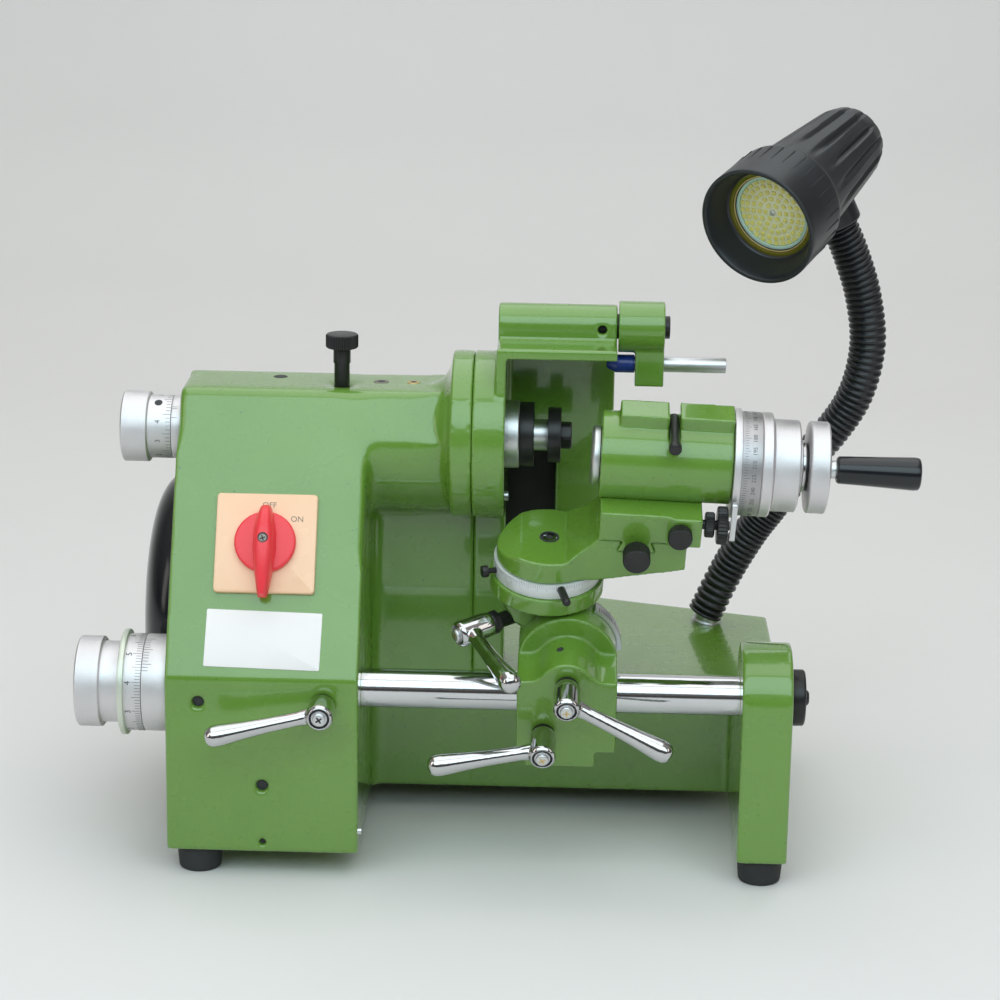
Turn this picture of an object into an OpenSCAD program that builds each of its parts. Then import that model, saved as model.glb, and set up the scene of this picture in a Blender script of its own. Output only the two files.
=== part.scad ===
// Bench tool and cutter grinder: a belt-driven wheel spindle in a cast headstock,
// and a tilting, swivelling workhead on a round guide bar in front of the bed.
// Machine axes: X right from the headstock's left wall, Y back from its front wall, Z up from the floor.

/* [Castings] */
// Height of the rubber feet
foot_h = 17; // [12:1:24]
// Radius of a rubber foot
foot_r = 15; // [12:0.5:18]
// Inset of a foot from the casting's outer faces
foot_inset = 4; // [2:0.5:8]
// Width of the headstock
hs_w = 122; // [116:1:130]
// Depth of the headstock
hs_d = 250; // [240:1:270]
// Height of the line where the front wall starts to lean back
break_z = 133; // [128:1:138]
// Lean of the upper front wall
face_lean = 27.5; // [26:0.5:29]
// Height of the headstock's top
top_z = 300; // [296:1:304]
// Depth at which the flat top ends
top_back_y = 141; // [136:1:146]
// Wall thickness of the castings
wall = 9; // [7:0.5:11]
// Height of the motor chamber in the headstock
chamber_z = 215; // [212:1:218]
// Height of the bed's top
bed_z = 100; // [96:1:103]
// Depth of the bed's front panel
bed_front_y = 125; // [121:1:129]
// Depth of the bed's back edge at the headstock
bed_back_y = 300; // [290:1:310]
// Depth of the bed's back edge at the bracket
bed_corner_y = 262; // [255:1:270]
// Clear length between the headstock and the end bracket
bar_span = 241; // [236:1:250]
// Width of the end bracket
bracket_w = 32; // [28:1:36]
// Radius of the bracket's arch
arch_r = 35; // [32:0.5:35]
// Radius of the fillet between headstock and bed panel
pocket_r = 10; // [7:0.5:14]
// Radius of the boss that carries the guide bar in the headstock
boss_r = 22; // [19:0.5:24]
// Thickness of the rear cover plate
cover_t = 3; // [2:0.5:5]

/* [Wheel spindle] */
// Depth of the spindle axis
spindle_y = 107; // [105:0.5:109]
// Height of the spindle axis
spindle_z = 269; // [267:0.5:271]
// Radius of the barrel's round underside
barrel_r = 55; // [53:0.5:56]
// Set-back of that underside behind the spindle axis
barrel_back = 19; // [17:0.5:20]
// Length of the bell mouth from the barrel to its flange
bell_l = 16; // [12:0.5:20]
// Radius of the fillet under the barrel
under_r = 8; // [6:0.5:10]
// Radius of the barrel's flange and of the guard's collar
flange_r = 54; // [51:0.5:54]
// Where the flange begins
flange_x = 175; // [172:1:178]
// Thickness of the flange
flange_t = 14; // [12:0.5:17]
// Radius of the quill sleeve
quill_r = 21; // [20:0.25:22]
// Radius of the quill's tail piece
tail_r = 17; // [16:0.25:18]
// Radius of the spindle shaft
shaft_r = 8; // [7.5:0.25:8.5]
// Outer radius of the quill's bearings
bearing_r = 16; // [15:0.25:17]
// Outer radius of the tail bearing
tail_bearing_r = 13; // [12:0.25:14]
// Width of a spindle bearing
bearing_w = 10; // [8:0.5:12]
// Radius of the spindle's nose
nose_r = 22; // [21:0.25:23]
// Thickness of the nose
nose_t = 10.5; // [9:0.5:12]
// Radius of the inner wheel flange
inner_flange_r = 21; // [19:0.5:22]
// Thickness of the inner wheel flange
inner_flange_t = 9.5; // [8:0.5:11]
// Radius of the wheel seat
seat_r = 10; // [9.5:0.25:10.5]
// Free length of the wheel seat
seat_l = 9; // [7:0.5:12]
// Radius of the outer wheel flange
outer_flange_r = 18; // [16:0.5:20]
// Thickness of the outer wheel flange
outer_flange_t = 8.5; // [7:0.5:10]
// Radius of the spindle nut
nut_r = 9; // [8:0.5:10]
// Length of the spindle nut
nut_l = 7; // [6:0.5:9]
// Radius of the spindle's thread
thread_r = 6; // [5.5:0.25:6.5]
// Radius of the feed knob on the left
feed_knob_r = 23; // [21:0.5:25]
// Length of the feed knob
feed_knob_l = 17.5; // [15:0.5:20]
// Radius of the graduated sleeve behind the feed knob
feed_sleeve_r = 20.5; // [19.5:0.25:21.5]
// Length of that sleeve
feed_sleeve_l = 6; // [4:0.5:8]
// Length of the graduated drum on the spindle feed's knob
feed_drum_l = 15; // [12:0.5:18]
// Radius of both feed screws
screw_r = 6; // [5:0.25:7]

/* [Drive] */
// Room between the motor and the rear wall
motor_back = 8; // [6:0.5:10]
// Height of the motor axis
motor_z = 130; // [128:0.5:132]
// Radius of the motor
motor_r = 65; // [60:1:68]
// Length of the motor
motor_l = 62; // [58:1:66]
// Radius of the domed cover on the left wall
cover_r = 92; // [90:0.5:94]
// Height of the dome
cover_h = 30; // [28:1:34]
// Wall of the dome
cover_wall = 3; // [2:0.5:4]
// Radius of the motor pulley
motor_pulley_r = 32.5; // [31:0.5:34]
// Radius of the spindle pulley
spindle_pulley_r = 17.5; // [16.5:0.5:18.5]
// Thickness of the flat belt
belt_t = 2.5; // [2:0.25:3]
// Width of the flat belt
belt_w = 12; // [10:0.5:14]
// Distance of the belt's centre from the headstock's left wall
belt_x = 66; // [64:0.5:68]
// Travel of the quill each way
quill_travel = 4; // [2:0.5:5]

/* [Guide bar] */
// Depth of the guide bar's axis
bar_y = 35; // [35:0.5:38]
// Height of the guide bar's axis
bar_z = 118; // [116:0.5:120]
// Radius of the guide bar
bar_r = 12.5; // [12:0.25:13]
// Radius of the bar's end cap
cap_r = 18; // [16:0.5:20]
// Thickness of the end cap
cap_t = 9; // [7:0.5:11]
// Radius of the micrometer's fixed sleeve
bar_sleeve_r = 31; // [29:0.5:32]
// Length of that sleeve
bar_sleeve_l = 15.5; // [13:0.5:18]
// Radius of the micrometer's flange
bar_flange_r = 34; // [33:0.5:35]
// Radius of the micrometer's end disc
bar_disc_r = 29; // [27:0.5:31]
// Length of the feed nut
feed_nut_l = 26; // [22:1:28]

/* [Wheel guard and dresser] */
// Thickness of the guard's collar
collar_t = 21; // [18:0.5:23]
// Right end of the guard's arm
guard_end_x = 280; // [277:1:283]
// Depth of the guard's back wall
guard_back_y = 157; // [154:1:160]
// Thickness of the guard's back wall
guard_wall = 11; // [8:0.5:13]
// Lowest point of the guard's back wall
guard_low_z = 170; // [165:1:180]
// Depth of the arm's barrel
arm_y = 110; // [108:0.5:112]
// Height of the arm's barrel
arm_z = 341; // [339:0.5:343]
// Radius of the arm's barrel
arm_r = 14; // [13:0.5:14.5]
// Reach of the ledge in front of the arm's axis
ledge_half = 45; // [40:0.5:47]
// Thickness of the ledge
ledge_t = 6.5; // [5:0.25:8]
// Drop from the arm's axis to the ledge's top
ledge_drop = 7; // [6:0.5:9]
// Width and height of the dust port in the back wall
port_w = 32; // [28:1:36]
port_h = 58; // [50:1:62]
// Lowest point of the dust port
port_z = 187; // [185:1:192]
// Radius of the dresser's pivot pin
pivot_r = 8; // [7:0.25:9]
// Radius of the dresser link
link_r = 16.5; // [15.5:0.5:17.5]
// Width of the dresser link
link_w = 29.5; // [27:0.5:32]
// Width of the link's lower part
link_leg_w = 18.5; // [16:0.5:20]
// Drop from the pivot to the dresser rod
rod_drop = 24.3; // [23.5:0.1:25]
// Radius of the dresser rod
rod_r = 5; // [4.5:0.25:5.25]
// Length of the dresser rod
rod_l = 59; // [54:1:64]
// Radius of the diamond holder
tip_r = 5.9; // [5.5:0.1:6.2]
// Length of the diamond holder
tip_l = 18; // [15:0.5:20]

/* [Carriage and tilt] */
// Distance of the carriage from the headstock's left wall
carriage_x = 253; // [248:1:258]
// Lean of the carriage towards the user
rest_rock = 17; // [14:1:20]
// Half width of the carriage
carriage_half = 31.5; // [30:0.5:32]
// Front face of the carriage, before the bar's axis
carriage_front = 28; // [26:0.5:30]
// Front face of the tilt disc, behind the bar's axis
disc_front = 5; // [3:0.5:6]
// Back face of the tilt disc, behind the bar's axis
disc_back = 18; // [17.5:0.5:19]
// Height of the carriage's shoulders above the bar's axis
shoulder_z = 27; // [25:0.5:28]
// Depth of the carriage below the bar's axis
carriage_drop = 27; // [26:0.5:29]
// Depth of the carriage's tongue below the bar's axis
tongue_drop = 38.5; // [36:0.5:41]
// Height of the tilt axis above the bar's axis
tilt_z = 22; // [21.5:0.25:23]
// Tilt of the workhead at rest
rest_tilt = 2.2; // [0:0.1:4]
// Radius of the front boss round the tilt axis
tilt_boss_r = 18.5; // [17:0.5:20]
// Radius of the fillets beside that boss
boss_fillet = 12; // [9:0.5:14]
// Radius of the pivot spigot
spigot_r = 8; // [7:0.25:8.5]
// Thickness of the tilt bracket's plate
plate_t = 15; // [12:0.5:17]
// Radius of the round swivel base
base_r = 36.5; // [35.5:0.5:37.5]
// Height of the swivel base above the tilt axis
base_z = 33.5; // [33.25:0.25:35]
// Thickness of the swivel base
base_t = 11.5; // [10:0.5:13]
// Outward step of the tilt scale past the disc
scale_step = 2.5; // [1.5:0.25:3]

/* [Swivel arm] */
// Offset of the swivel axis to the left of the tilt axis
swivel_left = 16; // [14:0.5:18]
// Distance of the swivel axis behind the bar's axis
swivel_y = 39; // [38:0.5:41]
// Radius of the graduated ring
ring_r = 34.5; // [33:0.5:35.5]
// Height of the graduated ring
ring_h = 10.5; // [9:0.5:12]
// Radius of the arm's round end
arm_end_r = 33; // [31:0.5:34]
// Thickness of the arm over the swivel axis
arm_t = 14.5; // [12:0.5:17]
// Height of the dovetail's table above the arm's underside
table_h = 31; // [29.5:0.5:32.5]
// Distance from the swivel axis to the table's right end
table_right = 85.5; // [82:0.5:88]
// Distance from the swivel axis to the table's left end
table_left = 24; // [20:0.5:27]
// Half depth of the table
table_half = 26; // [24:0.5:28]
// Rise of the arm's underside at its right end
under_rise = 11.5; // [9:0.5:13]
// Distance from the swivel axis to the dovetail
dovetail_x = 54; // [52:0.5:56]
// Width of the dovetail at its neck
dovetail_neck = 17; // [15:0.5:19]
// Width of the dovetail at its root
dovetail_root = 24; // [22:0.5:26]
// Depth of the dovetail
dovetail_h = 7.5; // [6.5:0.5:8.5]
// Radius of the swivel bolt
bolt_r = 4.2; // [4:0.1:5]

/* [Workhead] */
// Left end of the saddle from the swivel axis
saddle_left = 30; // [28:0.5:31]
// Length of the saddle
saddle_l = 63.5; // [61:0.5:66]
// Front of the saddle, before the swivel axis
saddle_front = 27; // [26.5:0.5:29]
// Depth of the saddle
saddle_d = 76; // [72:1:80]
// Height of the saddle
saddle_h = 20; // [18:0.5:22]
// Depth of the work axis behind the swivel axis
work_y = 15.5; // [14:0.5:17]
// Height of the work axis above the saddle
work_h = 16; // [15:0.5:17]
// Radius of the workhead
work_r = 29; // [28:0.5:30]
// Overhang of the workhead past the saddle's left end
work_over = 1.4; // [0.8:0.1:2]
// Length of the workhead
work_l = 82; // [80:0.5:84]
// Height of the top pads above the work axis
pad_h = 36; // [34:0.5:38]
// Half depth of the top pads
pad_half = 10; // [8:0.5:12]
// Length of the step left of the pads
pad_step = 11; // [9:0.5:13]
// Width of the slot between the pads
slot_w = 6.6; // [6.4:0.1:8]
// Radius of the work spindle
work_shaft_r = 14; // [13.5:0.25:15]
// Radius of the collet bore
collet_r = 9; // [8:0.25:9.5]
// Depth of the collet bore
collet_l = 45; // [40:1:50]
// Radius of the work spindle's nose
work_nose_r = 19; // [18:0.5:20]
// Thickness of that nose
work_nose_t = 5; // [4:0.5:6.5]
// Radius of the index dial's rim
dial_rim_r = 34.5; // [33.5:0.5:36]
// Thickness of the rim
dial_rim_t = 4.5; // [3.5:0.5:6]
// Radius of the index dial
dial_r = 33; // [32:0.5:33]
// Length of the index dial's drum
dial_l = 20; // [18:0.5:22]
// Radius of the dial's collar, and of the handwheel
wheel_r = 29; // [27:0.5:31]
// Length of the dial's collar
collar_l = 17; // [15:0.5:19]
// Gap between collar and handwheel
hub_l = 6; // [5:0.5:8]
// Radius of the handwheel's hub
hub_r = 17; // [16:0.5:19]
// Thickness of the handwheel
wheel_t = 12.5; // [11:0.5:14]
// Distance of the crank grip from the work axis
crank_off = 20.5; // [19:0.5:22]
// Direction of the crank grip, seen from its end
crank_turn = 61; // [45:1:75]
// Length of the crank grip
grip_l = 52; // [48:1:56]
// Radius of the crank grip at its end
grip_r = 10.5; // [9.5:0.25:11.5]
// Radius of the crank pin
pin_r = 4; // [3.5:0.25:4.5]

/* [Small parts] */
// Radius of a clamp lever's hub
lever_r = 8.5; // [7.5:0.25:9.5]
// Height of a clamp lever's hub
lever_h = 25; // [22:0.5:26]
// Length of a clamp lever's arm
lever_l = 66; // [60:1:72]
// Radius of a clamp lever's rounded end
lever_ball_r = 7; // [6:0.25:8]
// Angle at which the arm rises from the hub
lever_rise = 12; // [8:1:16]
// Radius of a clamp stud
stud_r = 5; // [4.5:0.1:5.3]
// Side of the square switch plate
switch_side = 64; // [60:1:66]
// Thickness of the switch plate
switch_t = 4; // [3:0.5:5]
// Radius of the switch behind the wall
switch_r = 18; // [16:0.5:20]
// Radius of the switch's rotary knob
switch_knob_r = 19.5; // [18:0.5:21]
// Radius of the thumb screw on the headstock
thumb_r = 10.5; // [9.5:0.5:12]
// Radius of the slide knob
slide_knob_r = 8.6; // [8:0.2:9.4]
// Radius of the index plunger's knob
plunger_r = 7.6; // [7:0.2:8.2]
// Radius of the stop screw's wheel
stop_r = 12; // [11:0.5:12.5]

/* [Lamp] */
// Outer radius of the flexible arm
hose_r = 12.5; // [11.5:0.25:13]
// Bore radius of the flexible arm
hose_bore = 9; // [8:0.25:9.5]
// Depth of the grooves between its ribs
groove = 1.8; // [1:0.1:2.2]
// Ribs on the flexible arm
hose_ribs = 76; // [50:1:90]
// Radius of the lamp's bezel
bezel_r = 40; // [38:0.5:42]
// Length of the lamp's bezel
bezel_l = 42; // [38:0.5:46]
// Radius of the lamp's rear end
shade_r = 26; // [25:0.5:28]
// Length of the lamp
lamp_l = 141; // [136:1:146]
// Wall of the lamp's shell
shade_wall = 3; // [2:0.5:4]
// Radius of the reflector bulb
bulb_r = 25; // [24:0.5:26]
// Length of the reflector bulb
bulb_l = 44; // [40:1:48]

/* [Hidden] */
$fn = 64;

// Clearances: between bodies, of a turning or sliding fit, and of sliding faces
gap = 0.3;
fit = 0.04;
face_fit = 0.1;
eps = 0.01;

// Paints and finishes
green = [0.42, 0.60, 0.30];
black = [0.14, 0.15, 0.16];
steel = [0.75, 0.76, 0.78];
rubber = [0.08, 0.08, 0.09];
cream = [0.99, 0.82, 0.67];
red = [0.90, 0.20, 0.24];
blue = [0.14, 0.24, 0.60];

// Headstock outline
face_top_y = (top_z - break_z) * tan(face_lean);
back_break_z = top_z - (hs_d - top_back_y);
bracket_x = hs_w + bar_span;
machine_r = bracket_x + bracket_w;

// Motor axis
motor_y = hs_d - wall - motor_r - motor_back;

// Spindle line
guard_x = flange_x + flange_t;
collar_x = guard_x + collar_t;
nose_x = collar_x - 2;
seat_x = nose_x + nose_t;
outer_x = seat_x + inner_flange_t + seat_l;
nut_x = outer_x + outer_flange_t;
quill_x = belt_x + belt_w + 2 * quill_travel + 4;
tail_x = 8;
tail_l = 34;
drum_half = belt_w / 2 + quill_travel + 2;
tower_half = drum_half + quill_travel + 2;

// Work line, in the swivel arm's frame
ring_z = base_z + base_t;
arm_z0 = ring_z + ring_h + face_fit;
table_z = arm_z0 + table_h;
saddle_z = table_z + face_fit;
saddle_top = saddle_z + saddle_h;
work_z = saddle_top + work_h;
work_x = saddle_left - work_over;
dial_x = work_x + work_l + gap;
drum_x = dial_x + dial_rim_t;
dial_collar_x = drum_x + dial_l;
hub_x = dial_collar_x + collar_l;
wheel_x = hub_x + hub_l;
grip_gap = 4;
grip_x = wheel_x + wheel_t + grip_gap;

// Guard's ledge
ledge_top_z = arm_z - ledge_drop;
ledge_z = ledge_top_z - ledge_t;

// Dresser line
link_x = guard_end_x + 1;
leg_x = link_x + link_w - link_leg_w;
rod_z = arm_z - rod_drop;

// Centre of the space that the machine fills, which is the part's origin
centre_x = 204;
centre_y = 130;

// Lamp: the place of its rim, and the way it points
rim_at = [367, 110, 407];
lamp_back = [0.5, 0.808, 0.31];
lamp_dir = lamp_back / norm(lamp_back);
bulb_z = 22;

// Route of the flexible arm, from its gland to the lamp
gland_at = [350, 245, bed_z];
gland_lean = 24;
gland_nut_h = 7;
gland_stub = 11;
stub_dir = [sin(gland_lean), 0, cos(gland_lean)];
hose_from = gland_at + gland_nut_h * [0, 0, 1] + gland_stub * stub_dir;
hose_to = [426, 203, 398];
hose_end_dir = [-0.42, -0.08, 0.9];
hose_mid = [
    [380, 239, 170], [394, 234, 192], [411, 229, 220], [431, 223, 247],
    [446, 218, 275], [452, 213, 310], [447, 209, 345]
];

// Machine frame, and the frames that ride on each other

module at_origin() translate([-centre_x, -centre_y, 0]) children();

module face_frame() translate([0, 0, break_z]) rotate([90 - face_lean, 0, 0]) children();

module carriage_frame() translate([carriage_x, bar_y, bar_z]) rotate([rest_rock, 0, 0]) children();

module tilt_frame() carriage_frame() translate([0, 0, tilt_z]) rotate([0, rest_tilt, 0]) children();

module swivel_frame() tilt_frame() translate([-swivel_left, swivel_y, 0]) children();

module work_frame() swivel_frame() translate([0, work_y, work_z]) children();

module lamp_frame() {
    turn = atan2(lamp_dir[1], lamp_dir[0]);
    lean = acos(lamp_dir[2]);
    translate(rim_at) rotate([0, lean, turn]) children();
}

module hose_end_frame() {
    d = hose_end_dir / norm(hose_end_dir);
    translate(hose_to) rotate([0, acos(d[2]), atan2(d[1], d[0])]) children();
}

// Bars along X, along the user's direction, and outlines drawn in the Y and Z plane

module rod_x(x0, x1, r) translate([x0, 0, 0]) rotate([0, 90, 0]) cylinder(r = r, h = x1 - x0);

module tube_x(x0, x1, r, bore) difference() {
    rod_x(x0, x1, r);
    rod_x(x0 - 1, x1 + 1, bore);
}

module rod_y(y0, y1, r) translate([0, y1, 0]) rotate([90, 0, 0]) cylinder(r = r, h = y1 - y0);

module prism_x(x0, x1) translate([x0, 0, 0]) rotate([90, 0, 90]) linear_extrude(x1 - x0) children();

module prism_y(y0, y1) translate([0, y1, 0]) rotate([90, 0, 0]) linear_extrude(y1 - y0) children();

module on_spindle() translate([0, spindle_y, spindle_z]) children();

module on_motor() translate([0, motor_y, motor_z]) children();

module on_bar() translate([0, bar_y, bar_z]) children();

module on_arm() translate([0, arm_y, arm_z]) children();

module block(low, high) translate(low) cube(high - low);

// Headstock, bed and bracket

module headstock_outline() polygon([
    [0, foot_h], [0, break_z], [face_top_y, top_z], [top_back_y, top_z],
    [hs_d, back_break_z], [hs_d, foot_h]
]);

module chamber_outline() {
    skew = wall / cos(face_lean);
    low_z = break_z - (skew - wall) / tan(face_lean);
    top_y = skew + (chamber_z - break_z) * tan(face_lean);
    back = hs_d + back_break_z - wall * sqrt(2);
    polygon([
        [wall, foot_h + wall], [wall, low_z], [top_y, chamber_z], [back - chamber_z, chamber_z],
        [hs_d - wall, back - hs_d + wall], [hs_d - wall, foot_h + wall]
    ]);
}

// Clear way for the belt between the motor chamber and the spindle
tower_gap = 6;

module belt_tower() {
    r = spindle_pulley_r + belt_t + tower_gap;
    translate([spindle_y, spindle_z]) circle(r);
    polygon([
        [spindle_y - r, spindle_z], [spindle_y + r, spindle_z],
        [motor_y + 4, chamber_z - 1], [spindle_y - 15, chamber_z - 1]
    ]);
}

module headstock_casting() color(green) difference() {
    union() {
        difference() {
            prism_x(0, hs_w) headstock_outline();
            prism_x(wall, hs_w - wall) chamber_outline();
        }
        on_bar() rod_x(0, hs_w, boss_r);
    }
    prism_x(belt_x - tower_half, belt_x + tower_half) belt_tower();
    on_bar() rod_x(-1, hs_w + 1, bar_r + fit);
    on_spindle() rod_x(-1, belt_x, tail_r + fit);
    on_spindle() rod_x(belt_x, hs_w + 1, quill_r + fit);
    on_motor() rod_x(-1, wall + 1, cover_r - 6);
    face_frame() translate([switch_u, switch_v, -60]) cylinder(r = switch_r + fit, h = 70);
    translate([thumb_x, spindle_y, spindle_z]) cylinder(r = stud_r + fit, h = top_z);
    translate([lock_x, 0, bar_z]) rod_y(-1, bar_y, stud_r + fit);
    for (p = front_holes) translate([p[0], 0, p[1]]) rod_y(-1, front_hole_l, front_hole_r);
    translate([hs_w / 2, 0, foot_h + pin_hole_up]) rod_y(-1, front_hole_l, pin_hole_r);
}

// Where the switch, the thumb screw, the bar lock and the rear cover sit
switch_u = 60.5;
switch_v = 87;
thumb_x = quill_x + 13;
lock_x = 100;
cover_low_z = 79;

// Tapped holes in the front wall, for fixtures
front_holes = [[21, 117], [61, 62]];
front_hole_r = 4;
front_hole_l = 8;
pin_hole_up = 6.5;
pin_hole_r = 2.5;

// The barrel that carries the wheel spindle, with its flange and the wall below it
module spindle_barrel() color(green) difference() {
    union() {
        intersection() {
            prism_x(hs_w, flange_x) headstock_outline();
            translate([0, barrel_back, 0]) on_spindle() rod_x(hs_w, flange_x, barrel_r);
        }
        on_spindle() rotate([0, 90, 0]) rotate_extrude() polygon(concat(
            [[shaft_r, flange_x]], [[shaft_r, flange_x - bell_l]],
            [for (a = [0:10:90]) [flange_r - bell_h * cos(a), flange_x - bell_l + bell_l * sin(a)]]
        ));
        on_spindle() rod_x(flange_x, guard_x, flange_r);
        block([hs_w, bed_front_y, bed_z], [guard_x, wall_back_y, spindle_z]);
        corner_fillet([hs_w, bed_front_y, bed_z], pocket_r, spindle_z - bed_z - barrel_r / 2);
        difference() {
            block([hs_w, bed_front_y - under_r, under_z - under_r], [guard_x, bed_front_y, under_z + under_r]);
            translate([0, bed_front_y - under_r, under_z - under_r]) rod_x(hs_w - 1, guard_x + 1, under_r);
        }
    }
    on_spindle() rod_x(hs_w - 1, guard_x + 1, quill_r + fit);
}

// Depth of the bell mouth, the back of the wall below the barrel, and the barrel's lowest line
bell_h = flange_r - (top_z - spindle_z) - 0.5;
wall_back_y = spindle_y + flange_r - 4;
under_z = spindle_z - barrel_r + 1;

// Upright fillet in a corner that opens to the front and the right
module corner_fillet(at, r, h) translate(at) difference() {
    translate([0, -r, 0]) cube([r, r, h]);
    translate([r, -r, -1]) cylinder(r = r, h = h + 2);
}

module bed_outline(w) polygon([
    [hs_w + w, bed_front_y + w], [bracket_x - w, bed_front_y + w],
    [bracket_x - w, bed_corner_y + (bracket_w + w) * bed_taper - w * 1.1],
    [bed_flat_x - w / 4, bed_back_y - w], [hs_w + w, bed_back_y - w]
]);

module bed_casting() color(green) difference() {
    union() {
        translate([0, 0, foot_h]) linear_extrude(bed_z - foot_h) bed_outline(0);
        corner_fillet([hs_w, bed_front_y, foot_h], pocket_r, bed_z - foot_h);
    }
    translate([0, 0, foot_h - 1]) linear_extrude(bed_z - foot_h - wall + 1) bed_outline(wall);
}

// Plan taper of the bed's back edge
bed_flat_x = 276;
bed_taper = (bed_back_y - bed_corner_y) / (machine_r - bed_flat_x);

module end_bracket() color(green) difference() {
    union() {
        on_bar() rod_x(bracket_x, machine_r, arch_r);
        block([bracket_x, bar_y - arch_r, foot_h], [machine_r, bar_y + arch_r, bar_z]);
        translate([0, 0, foot_h]) linear_extrude(bed_z - foot_h) polygon([
            [bracket_x, bar_y], [machine_r, bar_y], [machine_r, bed_corner_y],
            [bracket_x, bed_corner_y + bracket_w * bed_taper]
        ]);
    }
    on_bar() rod_x(bracket_x - 1, machine_r + 1, bar_r + fit);
}

module rubber_feet() color(rubber) {
    in = foot_inset + foot_r;
    right = machine_r - bracket_w / 2;
    for (p = [[in, in], [right, in], [in, hs_d - in], [right, bed_corner_y - in]])
        translate(p) cylinder(r1 = foot_r - 1.5, r2 = foot_r, h = foot_h);
}

module rear_cover() color(green) block(
    [wall + 4, hs_d, cover_low_z],
    [hs_w - wall - 4, hs_d + cover_t, back_break_z - 8]
);

// Wheel guard

module wheel_guard() color(green) difference() {
    union() {
        on_spindle() rod_x(guard_x, collar_x, flange_r);
        block([guard_x, bed_front_y, bed_z], [collar_x, guard_back_y + guard_wall, spindle_z + 10]);
        difference() {
            block([guard_x, bed_front_y - under_r, under_z - under_r], [collar_x, bed_front_y, under_z + under_r]);
            translate([0, bed_front_y - under_r, under_z - under_r]) rod_x(guard_x - 1, collar_x + 1, under_r);
        }
        block([collar_x - 6, arm_y - ledge_half, spindle_z + 20], [collar_x, guard_back_y, ledge_top_z]);
        block([collar_x - 6, guard_back_y, guard_low_z], [guard_end_x, guard_back_y + guard_wall, ledge_top_z]);
        block([collar_x - 6, arm_y - ledge_half, ledge_z], [guard_end_x, guard_back_y + 1, ledge_top_z]);
        block([collar_x - 6, arm_y - arm_r, ledge_z], [guard_end_x, arm_y + arm_r, arm_z]);
        on_arm() rod_x(collar_x - 6, guard_end_x, arm_r);
    }
    on_spindle() rod_x(guard_x - 1, collar_x + 1, nose_r + 2);
    on_arm() rod_x(pivot_x, guard_end_x + 1, pivot_r + fit);
    on_arm() translate([guard_end_x - set_screw_in, 0, 0]) rod_y(-arm_r - 1, 0, set_screw_r);
    translate([0, 0, port_z]) block(
        [collar_x, guard_back_y - 1, 0], [collar_x + port_w, guard_back_y + guard_wall + 1, port_h]
    );
}

module guard_back_plate() color(black) block(
    [collar_x - 5, guard_back_y + guard_wall, port_z - 5],
    [collar_x + port_w + 5, guard_back_y + guard_wall + 2, port_z + port_h + 5]
);

// Dresser

leg_under = 13;
pivot_in = 30;
pivot_x = guard_end_x - pivot_in;
set_screw_in = 9.5;
set_screw_r = 3;

module dresser_pivot() color(black) on_arm() {
    rod_x(pivot_x + 1, link_x + link_w, pivot_r);
    rod_x(link_x + link_w, link_x + link_w + 3.5, pivot_r - 0.7);
}

module dresser_link() color(green) difference() {
    union() {
        on_arm() rod_x(link_x, link_x + link_w, link_r);
        block([leg_x, arm_y - link_r / 2 - 1, rod_z - leg_under], [link_x + link_w, arm_y + link_r / 2 + 1, arm_z]);
    }
    on_arm() rod_x(link_x - 1, link_x + link_w + 1, pivot_r + fit);
    translate([0, arm_y, rod_z]) rod_x(leg_x - 1, link_x + link_w + 1, rod_r + fit);
}

module dresser_rod() color(steel) translate([0, arm_y, rod_z]) rod_x(leg_x - gap, leg_x - gap + rod_l, rod_r);

module dresser_tip() color(blue) translate([leg_x - gap - tip_l, arm_y, rod_z]) rotate([0, 90, 0]) {
    cylinder(r1 = tip_r - 3, r2 = tip_r, h = 6);
    translate([0, 0, 6]) cylinder(r = tip_r, h = tip_l - 6);
}

// Motor and drive

motor_x = -14;

module motor_body() color(black) difference() {
    union() {
        on_motor() rod_x(motor_x, motor_x + motor_l, motor_r);
        block([wall + 4, motor_y - 45, foot_h + wall], [motor_x + motor_l - 4, motor_y + 45, motor_z - motor_r / 2]);
    }
    on_motor() rod_x(motor_x + 20, motor_x + motor_l + 1, shaft_r + fit);
}

// Shell of the dome: its outline is part of a flattened circle, thick at the rim
module motor_end_cover() color(black) on_motor() rotate([0, -90, 0]) rotate_extrude() polygon(concat(
    [for (a = [0 : 6 : 90]) [dome_r(cover_r, a), dome_h(cover_h, a)]],
    [for (a = [90 : -6 : 0]) [dome_r(cover_r - cover_wall, a), dome_h(cover_h - cover_wall, a)]]
));

function dome_r(r, a) = a == 90 ? 0 : r * pow(cos(a), 0.45);

function dome_h(h, a) = h * pow(sin(a), 0.8);

module motor_rotor() color(steel) on_motor() rod_x(motor_x + 20 + gap, belt_x + belt_w / 2 + 3, shaft_r);

module motor_pulley() color(steel) on_motor() tube_x(
    belt_x - belt_w / 2 - 2, belt_x + belt_w / 2 + 2, motor_pulley_r, shaft_r + fit
);

// Outline round both pulleys at a given distance from them
module belt_outline(d) {
    span = [spindle_y - motor_y, spindle_z - motor_z];
    dist = norm(span);
    wrap = acos((motor_pulley_r - spindle_pulley_r) / dist);
    big = [for (k = [0 : 40]) let (a = wrap + k * (360 - 2 * wrap) / 40)
        (motor_pulley_r + d) * [cos(a), sin(a)]];
    small = [for (k = [0 : 30]) let (a = -wrap + k * 2 * wrap / 30)
        [dist, 0] + (spindle_pulley_r + d) * [cos(a), sin(a)]];
    translate([motor_y, motor_z]) rotate(atan2(span[1], span[0])) polygon(concat(big, small));
}

module drive_belt() color(rubber) prism_x(belt_x - belt_w / 2, belt_x + belt_w / 2) difference() {
    belt_outline(gap + belt_t);
    belt_outline(gap);
}

// Quill and wheel spindle

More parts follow.
